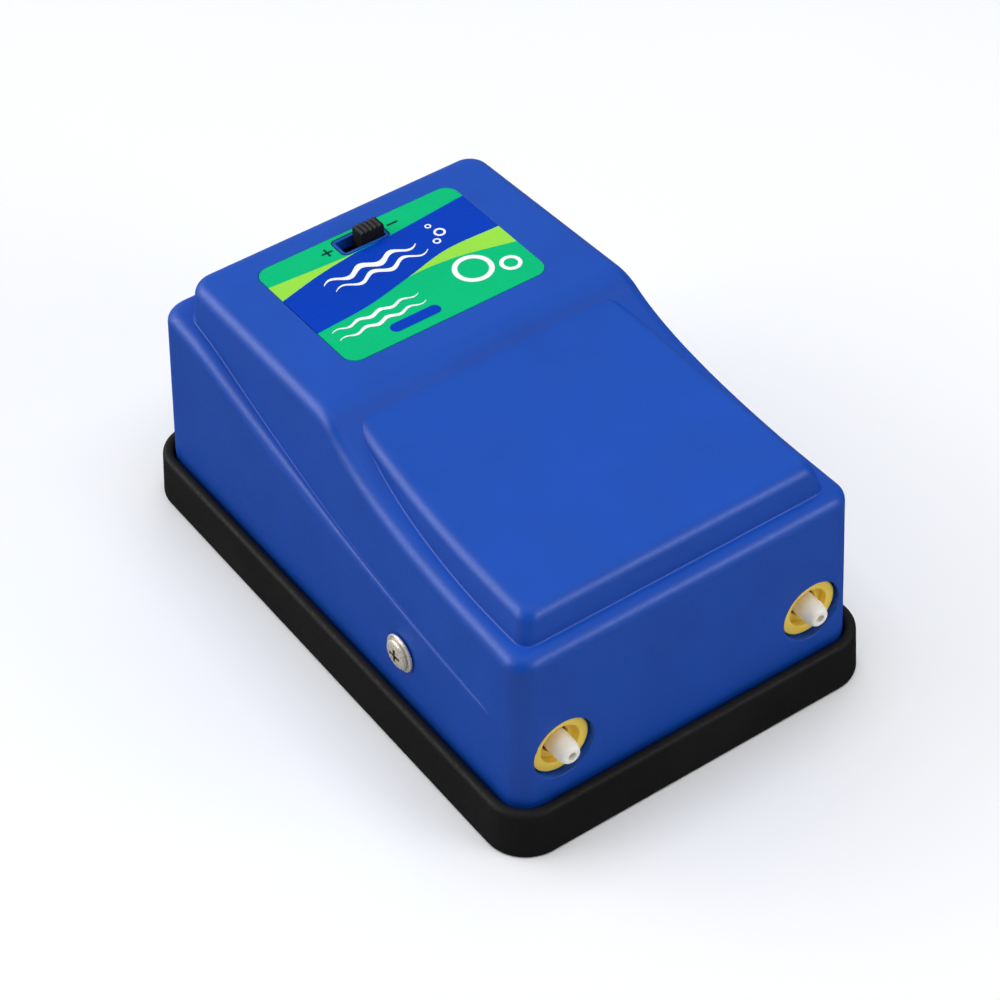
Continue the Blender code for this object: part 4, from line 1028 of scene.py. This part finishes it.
def add_mark(name, outline, finish="label_white"):
    print_mark(prism(name, outline, "Z", -MARK_SINK, MARK_HEIGHT, finish, PANEL))


def wave_outline(centre, length, height, thickness, waves):
    """A ribbon along a sine wave that thins to its ends."""
    upper = []
    lower = []
    steps = 24 * waves
    for i in range(steps + 1):
        t = i / steps
        x = centre[0] + (t - 0.5) * length
        y = centre[1] + height / 2 * sin(2 * pi * waves * t)
        half = thickness / 2 * (0.15 + 0.85 * sin(pi * t))
        upper.append((x, y + half))
        lower.append((x, y - half))
    return lower + upper[::-1]


def add_wave(name, *shape):
    add_mark(name, wave_outline(*shape))


def add_bar(name, centre, size, corner, steps=3, finish="label_dark"):
    add_mark(name, rounded_rectangle(centre, size, corner, steps), finish)


def add_bubble(name, centre, radius, width):
    profile = [(radius - width, -MARK_SINK), (radius, -MARK_SINK), (radius, MARK_HEIGHT),
               (radius - width, MARK_HEIGHT)]
    centre = (*centre, 0)
    print_mark(turned(name, profile, "Z", centre, 1, "label_white", FINE_ROUND, PANEL))


def make_marks():
    """Generic printed marks: waves, bubbles, a plain pill, and plus and minus at the switch."""
    add_wave("label_wave_upper", (-3.2, 4.9), 19.0, 1.5, 1.35, 3)
    add_wave("label_wave_lower", (-2.4, 2.3), 19.0, 1.5, 1.0, 3)
    add_bubble("label_bubble_small", (9.6, 3.2), 0.75, 0.32)
    add_bubble("label_bubble_middle", (11.4, 5.0), 1.1, 0.42)
    add_bubble("label_bubble_top", (10.7, 7.6), 0.6, 0.26)
    add_wave("label_rule_long", (-9.8, -6.6), 17.5, 0.7, 0.8, 4)
    add_wave("label_rule_short", (-9.8, -9.0), 17.5, 0.7, 0.8, 4)
    add_bar("label_pill", (-5.2, -11.9), (10.0, 2.3), 1.1, 8, "label_blue")
    add_bubble("label_ring_large", (10.2, -6.9), 3.7, 0.95)
    add_bubble("label_ring_small", (16.2, -9.6), 2.0, 0.75)
    long, wide = 2.2, 0.42
    corner = wide * 0.3
    plus, minus = (-7.3, 12.2), (6.3, 12.2)
    add_bar("label_plus", plus, (long, wide), corner)
    add_bar("label_minus", minus, (long, wide), corner)
    add_bar("label_plus_upright", plus, (wide, long), corner)


# ---- knob


def knob_outline(x, bottom):
    half = KNOB_SIZE[0] / 2
    steps = 12 * KNOB_RIDGES
    outline = [(x + half, KNOB_HEIGHT - 3 * KNOB_EDGE)]
    for i in range(steps + 1):
        groove = abs(cos(pi * KNOB_RIDGES * i / steps)) ** 1.5
        across = x + half - KNOB_EDGE - (KNOB_SIZE[0] - 2 * KNOB_EDGE) * i / steps
        outline.append((across, KNOB_HEIGHT - KNOB_GROOVE * groove))
    outline.append((x - half, KNOB_HEIGHT - 3 * KNOB_EDGE))
    return outline + [(x - half, bottom), (x + half, bottom)]


def make_knob():
    room = (SLOT_SIZE[0] - KNOB_SIZE[0] - KNOB_TRAVEL) / 2
    x = SLOT_CENTRE[0] + SLOT_SIZE[0] / 2 - room - KNOB_SIZE[0] / 2
    y = WINDOW_Y
    top = -WALL - GAP - SLIDER_DROP
    knob = prism("knob_moulding", knob_outline(x, top - SLIDER_DROP), "Y", y - KNOB_SIZE[1] / 2,
                 y + KNOB_SIZE[1] / 2, "black_plastic", PANEL)
    half_x, half_y = SLIDER_HALF
    slider = box("knob_slider", (x - half_x, y - half_y, top - SLIDER_DEPTH),
                 (x + half_x, y + half_y, top), place=PANEL)
    boolean(knob, slider, "UNION")
    bake(knob)
    soften(knob, 0.1, 3, 50)
    stand_for(knob, "switch_knob")


# ---- screws, collars, grommet


def cut_cross(screw, node, axis, seat, direction, top):
    """Cut two crossing slots, which narrow downwards, in the top of a screw's head, and give their
    faces a painted shade.
    """
    along = "XYZ".index(axis)
    arm, width = CROSS_SIZE[0] / 2, CROSS_SIZE[1] / 2
    others = [i for i in range(3) if i != along]
    faces = [range(4), range(4, 8)] + band(0, 4, 4)
    for first, second in (others, others[::-1]):
        points = []
        for depth, grow in ((top + 0.2, 1.1), (top - CROSS_DEPTH, 0.6)):
            for a, b in SQUARE:
                point = list(seat)
                point[first] += a * arm * grow
                point[second] += b * width * (0.7 + 0.3 * grow)
                point[along] += direction * depth
                points.append(point)
        # the recess's faces take the painted-shade material, a darker brown in place of the shade
        # in the cross
        boolean(screw, add(f"{node}_cross", points, faces, "recess_painted_shade"))
        screw.modifiers[-1].material_mode = "TRANSFER"
    bake(screw)


def make_screw(node, axis, seat, direction, head, length):
    """Pan-head screw with a thread and a cross recess."""
    radius, height = head
    profile = [(0, -length), (SCREW_SHANK * 0.7, -length), (SCREW_SHANK, -length + 0.5)]
    for i in range(int((length - 1.2) / THREAD_PITCH)):
        low = -length + 0.7 + i * THREAD_PITCH
        profile += [(SCREW_SHANK * 0.86, low), (SCREW_SHANK, low + THREAD_PITCH * 0.45)]
    profile += [(SCREW_SHANK, 0), (radius - 0.3, 0), (radius - 0.05, 0.22), (radius, height * 0.35)]
    profile += [(radius * cos(a) ** 0.65, height * (0.35 + 0.65 * sin(a)))
                for a in quarter_angles(10)[:-1]]
    profile += [(0, height)]
    screw = turned(f"{node}_turned", profile, axis, seat, direction, "nickel", FINE_ROUND)
    cut_cross(screw, node, axis, seat, direction, height)
    soften(screw, 0.05)
    stand_for(screw, node)


def make_washer(side, name, inner):
    edge = 0.12
    thick = WASHER_THICKNESS
    profile = [(WASHER_BORE, edge), (WASHER_BORE + edge, 0), (WASHER_RADIUS - edge, 0),
               (WASHER_RADIUS, edge), (WASHER_RADIUS, thick - edge), (WASHER_RADIUS - edge, thick),
               (WASHER_BORE + edge, thick), (WASHER_BORE, thick - edge)]
    seat = (side * inner, SCREW_Y, AXIS_Z)
    washer = turned(f"side_washer_{name}_stamped", profile, "X", seat, side, "nickel")
    stand_for(washer, f"side_washer_{name}")


def make_side_screws():
    for side, name in ((-1, "left"), (1, "right")):
        inner = plinth_half_width(AXIS_Z) + WASHER_REST
        make_washer(side, name, inner)
        seat = (side * (inner + WASHER_THICKNESS + SCREW_REST), SCREW_Y, AXIS_Z)
        make_screw(f"side_screw_{name}", "X", seat, side, SIDE_SCREW_HEAD, SIDE_SCREW_LENGTH)
    for y, name in zip(STRAP_Y, ("front", "rear")):
        seat = (0, y, STRAP_TOP + GAP)
        make_screw(f"strap_screw_{name}", "Z", seat, 1, STRAP_SCREW_HEAD, STRAP_SCREW_LENGTH)


def make_collar(side, name):
    floor = COLLAR_FACE_Y + COLLAR_DEPTH
    back = floor + 0.9
    bore = NOZZLE_RADIUS + NOZZLE_ROOM
    edge = 0.22
    profile = [(COLLAR_BORE, floor), (COLLAR_BORE, COLLAR_FACE_Y + edge)]
    profile += arc((COLLAR_BORE + edge, COLLAR_FACE_Y + edge), edge, 180, 270, 4)[1:]
    profile += arc((COLLAR_RADIUS - edge, COLLAR_FACE_Y + edge), edge, 270, 360, 4)
    profile += [(COLLAR_RADIUS, back), (bore, back), (bore, floor + 0.1), (bore + 0.1, floor)]
    centre = (side * OUTLET_X, 0, AXIS_Z)
    collar = turned(f"outlet_collar_{name}_moulded", profile, "Y", centre, 1, "yellow_rubber")
    stand_for(collar, f"outlet_collar_{name}")


def make_grommet():
    flange = GROMMET_WAIST + GROMMET_FLANGE
    waist = GROMMET_WAIST - GAP
    outside = plinth_rear(CORD_Z - flange) + GAP
    inside = plinth_rear(CORD_Z + flange) - WALL - GAP - 0.2
    thick = GROMMET_FLANGE
    edge = 0.5
    profile = [(GROMMET_BORE, inside - thick)]
    profile += arc((flange - edge, inside - thick + edge), edge, 270, 360, 6)
    profile += [(flange, inside), (waist, inside), (waist, outside), (flange, outside)]
    profile += arc((flange - edge, outside + thick - edge), edge, 0, 90, 6)
    profile += arc((GROMMET_BORE + 0.3, outside + thick - 0.3), 0.3, 90, 180, 4)
    grommet = turned("cord_grommet_moulded", profile, "Y", (0, 0, CORD_Z), 1, "soft_rubber")
    stand_for(grommet, "cord_grommet")


# ---- pump heads


def nozzle_form(side):
    tip = NOZZLE_TIP_Y
    share, nose = NOZZLE_NOSE
    profile = [(0, tip)]
    for a in [0.0] + quarter_angles(8):
        radius = NOZZLE_RADIUS * (share + (1 - share) * sin(a))
        profile.append((radius, tip + nose - nose * cos(a)))
    profile += [(NOZZLE_RADIUS, tip + NOZZLE_ROOT[0]), (NOZZLE_ROOT_RADIUS, tip + NOZZLE_ROOT[1])]
    profile += [(NOZZLE_ROOT_RADIUS, HEAD_Y[0] + 1), (0, HEAD_Y[0] + 1)]
    return turned("nozzle_form", profile, "Y", (side * OUTLET_X, 0, AXIS_Z))


def make_head(side, name):
    centre = (sum(HEAD_Y) / 2, sum(HEAD_Z) / 2)
    size = (HEAD_Y[1] - HEAD_Y[0], HEAD_Z[1] - HEAD_Z[0])
    head = prism(f"pump_head_{name}_moulded", rounded_rectangle(centre, size, HEAD_CORNER), "X",
                 *span(side, HEAD_FACE_X, HEAD_BACK_X), "white_plastic")
    boolean(head, nozzle_form(side), "UNION")

    def across(part, y, radius, inner, outer, sides=HOLE_ROUND):
        drill(head, part, "X", (0, y, AXIS_Z), radius, *span(side, inner, outer), sides)

    def forward(part, x, radius, front, rear):
        drill(head, part, "Y", (side * x, 0, AXIS_Z), radius, front, rear, HOLE_ROUND)

    chamber_end = HEAD_FACE_X + CHAMBER_DEPTH
    across("chamber", SCREW_Y, CHAMBER_RADIUS, HEAD_FACE_X - CLEAR, chamber_end, ROUND)
    for y in POCKET_Y:
        low_x, high_x = span(side, POCKET_X, HEAD_BACK_X + CLEAR)
        boolean(head, box("valve_pocket", (low_x, y - POCKET_HALF, POCKET_Z[0]),
                          (high_x, y + POCKET_HALF, POCKET_Z[1])))
    for y in OUTLET_PORT_Y, INTAKE_PORT_Y:
        across("valve_port", y, PORT_RADIUS, HEAD_FACE_X + 1, POCKET_X + 1)
    forward("intake_mouth", PASSAGE_X, PORT_RADIUS, POCKET_Y[1], HEAD_Y[1] + CLEAR)
    forward("outlet_bore", PASSAGE_X, NOZZLE_BORE, HEAD_Y[0] + 1.5, POCKET_Y[0])
    bore_end = POCKET_Y[0] - POCKET_HALF + 0.7
    forward("nozzle_bore", OUTLET_X, NOZZLE_BORE, NOZZLE_TIP_Y - CLEAR, bore_end)
    across("boss_hole", SCREW_Y, BOSS_BORE_RADIUS, POCKET_X - 1, HEAD_BACK_X + CLEAR)
    bake(head)
    soften(head, 0.12)
    stand_for(head, f"pump_head_{name}")


# ---- magnetic drive

COIL_Y = 24.0
BOBBIN_HALF_LENGTH = 7.9
BOBBIN_WALL = 1.0
WINDING_HALF = 12.0
CORE_HALF_WIDTH = 6.5
POLE_HALF_WIDTH = 11.0
POLE_FACE_X = 11.2
STACK_HALF_HEIGHT = 7.0
TURNS = 30
TURN_SINK = 0.12  # depth of the valley between two turns
LAMINATIONS = 24
LAMINATION_GROOVE = 0.05
DIAPHRAGM_RADIUS = 13.0
STUD_HOLE_RADIUS = 1.7


def make_winding():
    """Winding whose outer face shows each turn of its wire."""
    end = BOBBIN_HALF_LENGTH - BOBBIN_WALL - GAP
    pitch = 2 * end / TURNS
    rows = [(-end + (turn + t) * pitch, TURN_SINK * (1 - sin(pi * t)))
            for turn in range(TURNS) for t in (0.0, 0.2, 0.5, 0.8)]
    rows.append((end, TURN_SINK))
    inner = [2 * (half + 2 * GAP + BOBBIN_WALL) for half in (CORE_HALF_WIDTH, STACK_HALF_HEIGHT)]
    rows = [(x, [2 * (WINDING_HALF - sink)] * 2, 3.0) for x, sink in rows]
    rows += [(end, inner, 0.9), (-end, inner, 0.9)]
    loops = [[(x, y, z) for y, z in rounded_rectangle((COIL_Y, AXIS_Z), size, corner)]
             for x, size, corner in rows]
    stand_for(stack("coil_winding_turns", loops, "copper", True), "coil_winding")


def make_core_half(side, name):
    """T-shaped half of the core, stacked from thin laminations with a groove between each."""
    pole_inner = BOBBIN_HALF_LENGTH + GAP
    corners = [(GAP / 2, CORE_HALF_WIDTH, 1), (pole_inner, CORE_HALF_WIDTH, 1),
               (pole_inner, POLE_HALF_WIDTH, 1), (POLE_FACE_X, POLE_HALF_WIDTH, -1)]
    around = [(-1, *corner) for corner in corners] + [(1, *corner) for corner in corners[::-1]]
    groove = LAMINATION_GROOVE
    sheet = 2 * STACK_HALF_HEIGHT / LAMINATIONS
    levels = []
    for layer in range(LAMINATIONS):
        low = AXIS_Z - STACK_HALF_HEIGHT + layer * sheet
        levels += [(low, groove), (low + groove, 0), (low + sheet - groove, 0)]
    levels.append((AXIS_Z + STACK_HALF_HEIGHT, groove))
    loops = [[(side * (x + sink * inward), COIL_Y + sign * (y - sink), z)
              for sign, x, y, inward in around] for z, sink in levels]
    stand_for(stack(f"core_half_{name}_laminated", loops, "core_steel"), f"core_half_{name}")


def make_diaphragm(side, name):
    """Rubber cup that stretches between the head and the arm."""
    fold = (7.6, 1.4)
    bead = arc((DIAPHRAGM_RADIUS - 0.4, 0.4), 0.4, 270, 360, 4)
    bead += arc((DIAPHRAGM_RADIUS - 0.4, 1.9), 0.4, 0, 90, 4) + [(11.0, 2.3), (10.2, 1.9)]
    boss = [(5.4, 2.4), (5.2, 4.3), (4.9, 4.6), (STUD_HOLE_RADIUS, 4.6), (STUD_HOLE_RADIUS, 2.0),
            (5.0, 2.0), (5.6, 1.2)]
    profile = bead + arc(fold, 1.6, 20, 160, 12) + boss + arc(fold, 0.8, 160, 20, 12)
    profile += [(10.2, 1.1), (10.6, 0)]
    face = (side * (HEAD_FACE_X - GAP), SCREW_Y, AXIS_Z)
    cup = turned(f"diaphragm_{name}_moulded", profile, "X", face, -side, "soft_rubber")
    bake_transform(cup)
    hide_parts(f"diaphragm_{name}")


def refine(node, finish, width):
    """A copy of a simple CAD node with its hard edges truly rounded."""
    mesh = frame["nodes"][node].data.copy()
    mesh.materials.clear()
    mesh.materials.append(MATERIALS[finish])
    with edited(mesh) as bm:
        bmesh.ops.remove_doubles(bm, verts=bm.verts, dist=1e-6)
        bmesh.ops.dissolve_limit(bm, angle_limit=radians(1.0), verts=bm.verts, edges=bm.edges)
    piece = put(f"{node}_finished", mesh)
    soften(piece, width)
    stand_for(piece, node)


# Simple nodes by their finish: how each node's name starts, and the width of its rounded edges
REFINED = {
    "grey_plastic": {"chassis_plate": 0.25},
    "nylon": {"coil_bobbin": 0.12, "head_back_plate": 0.2},
    "steel": {"coil_strap": 0.2, "rocker_arm": 0.15},
    "magnet": {"magnet": 0.3},
    "soft_rubber": {"hinge_block": 0.3, "intake_flap": 0.08, "outlet_flap": 0.08},
    "brass": {"diaphragm_stud": 0.08, "stud_nut": 0.12, "switch_terminal": 0.05},
    "felt": {"felt_filter": 0.2},
    "black_plastic": {"switch_body": 0.15},
    "wire_white": {"supply_wire_coil": 0.05, "tap_wire_low": 0.05},
    "wire_red": {"supply_wire_switch": 0.05, "tap_wire_high": 0.05},
}


def make_refined():
    for node in frame["nodes"]:
        for finish, widths in REFINED.items():
            for stem, width in widths.items():
                if node.startswith(stem):
                    refine(node, finish, width)


# ---- stage


def make_camera():
    a, e, roll = CAMERA_AZIMUTH, CAMERA_ELEVATION, CAMERA_ROLL
    back = Vector((sin(a) * cos(e), -cos(a) * cos(e), sin(e)))
    across = Vector((cos(a), sin(a), 0))
    up = back.cross(across)
    right = across * cos(roll) + up * sin(roll)
    top = up * cos(roll) - across * sin(roll)
    place = right * CAMERA_SHIFT[0] + top * CAMERA_SHIFT[1] + back * CAMERA_DISTANCE
    data = bpy.data.cameras.new("camera")
    data.sensor_width = CAMERA_SENSOR
    data.lens = CAMERA_LENS
    data.clip_start = 0.01
    camera = put("camera", data)
    axes = Matrix((right, top, back)).transposed().to_4x4()
    camera.matrix_world = Matrix.Translation(place * MM) @ axes
    bpy.context.scene.camera = camera


LIGHT_AIM = 0.02  # height of the point that the lights face, in metres
LIGHTS = [  # name, direction, distance and size in metres, power, and what shows it
    ("left_rear_shine", (-0.70, 0.59, 0.45), 0.9, (0.9, 0.5), 9.5, "glossy"),
    ("left_rear_box", (-0.70, 0.59, 0.45), 0.9, (0.9, 0.5), 4.4, "matt"),
    ("front_right_shine", (0.41, -0.76, 0.48), 0.9, (0.5, 0.25), 4.6, "glossy"),
    ("front_right_box", (0.55, -0.80, 0.42), 0.9, (0.5, 0.3), 2.1, "matt"),
    ("overhead_box", (0.0, -0.1, 1.0), 1.0, (0.9, 0.9), 7.0, "matt"),
]
SKY_COLOUR = (0.95, 0.97, 1.0, 1.0)
SKY_SIDE = (0.0, 0.6, 0.6)  # the sky brightens upwards and towards the rear
SKY_FADE = (0.1, 0.75, 0.03, 0.6)  # range along that direction, and the strengths at its ends
FLOOR_HALF = 3000.0
FLOOR_Z = -0.02


def add_light(name, direction, distance, size, power, shown_in):
    """A soft box that faces the object, and shows in matt surfaces or in glossy ones."""
    data = bpy.data.lights.new(name, "AREA")
    data.shape = "RECTANGLE"
    data.size, data.size_y = size
    data.energy = power
    light = put(name, data)
    towards = Vector(direction).normalized()
    light.location = towards * distance + Vector((0, 0, LIGHT_AIM))
    light.rotation_mode = "QUATERNION"
    light.rotation_quaternion = (-towards).to_track_quat("-Z", "Y")
    light.visible_glossy = shown_in == "glossy"
    light.visible_diffuse = shown_in == "matt"


def make_stage():
    world = bpy.data.worlds.new("studio")
    world.use_nodes = True
    tree = world.node_tree
    background = set_inputs(tree.nodes["Background"], {"Color": SKY_COLOUR})
    direction = add_node(tree, "TexCoord")
    along = add_node(tree, "VectorMath")
    along.operation = "DOT_PRODUCT"
    along.inputs[1].default_value = SKY_SIDE
    sockets = ("From_Min", "From_Max", "To_Min", "To_Max")
    fade = add_node(tree, "MapRange", **dict(zip(sockets, SKY_FADE)))
    tree.links.new(direction.outputs["Generated"], along.inputs[0])
    link_all(tree, [(along, "Value", fade, "Value"), (fade, "Result", background, "Strength")])
    bpy.context.scene.world = world
    bpy.context.scene.view_settings.view_transform = "Standard"
    for light in LIGHTS:
        add_light(*light)
    corners = [(x * FLOOR_HALF, y * FLOOR_HALF, FLOOR_Z) for x, y in SQUARE]
    surface("floor_paper", (246, 247, 249), 0.7, (400, 1e-5), 0.01, mottle_scale=8)
    floor = add("floor", corners, [(0, 1, 2, 3)], "floor_paper")
    floor.visible_glossy = False


def main():
    make_camera()
    make_stage()
    make_cover()
    make_boot()
    make_label()
    make_marks()
    make_knob()
    make_side_screws()
    make_grommet()
    for side, name in ((-1, "left"), (1, "right")):
        make_collar(side, name)
        make_head(side, name)
        make_core_half(side, name)
        make_diaphragm(side, name)
    make_winding()
    make_refined()


main()
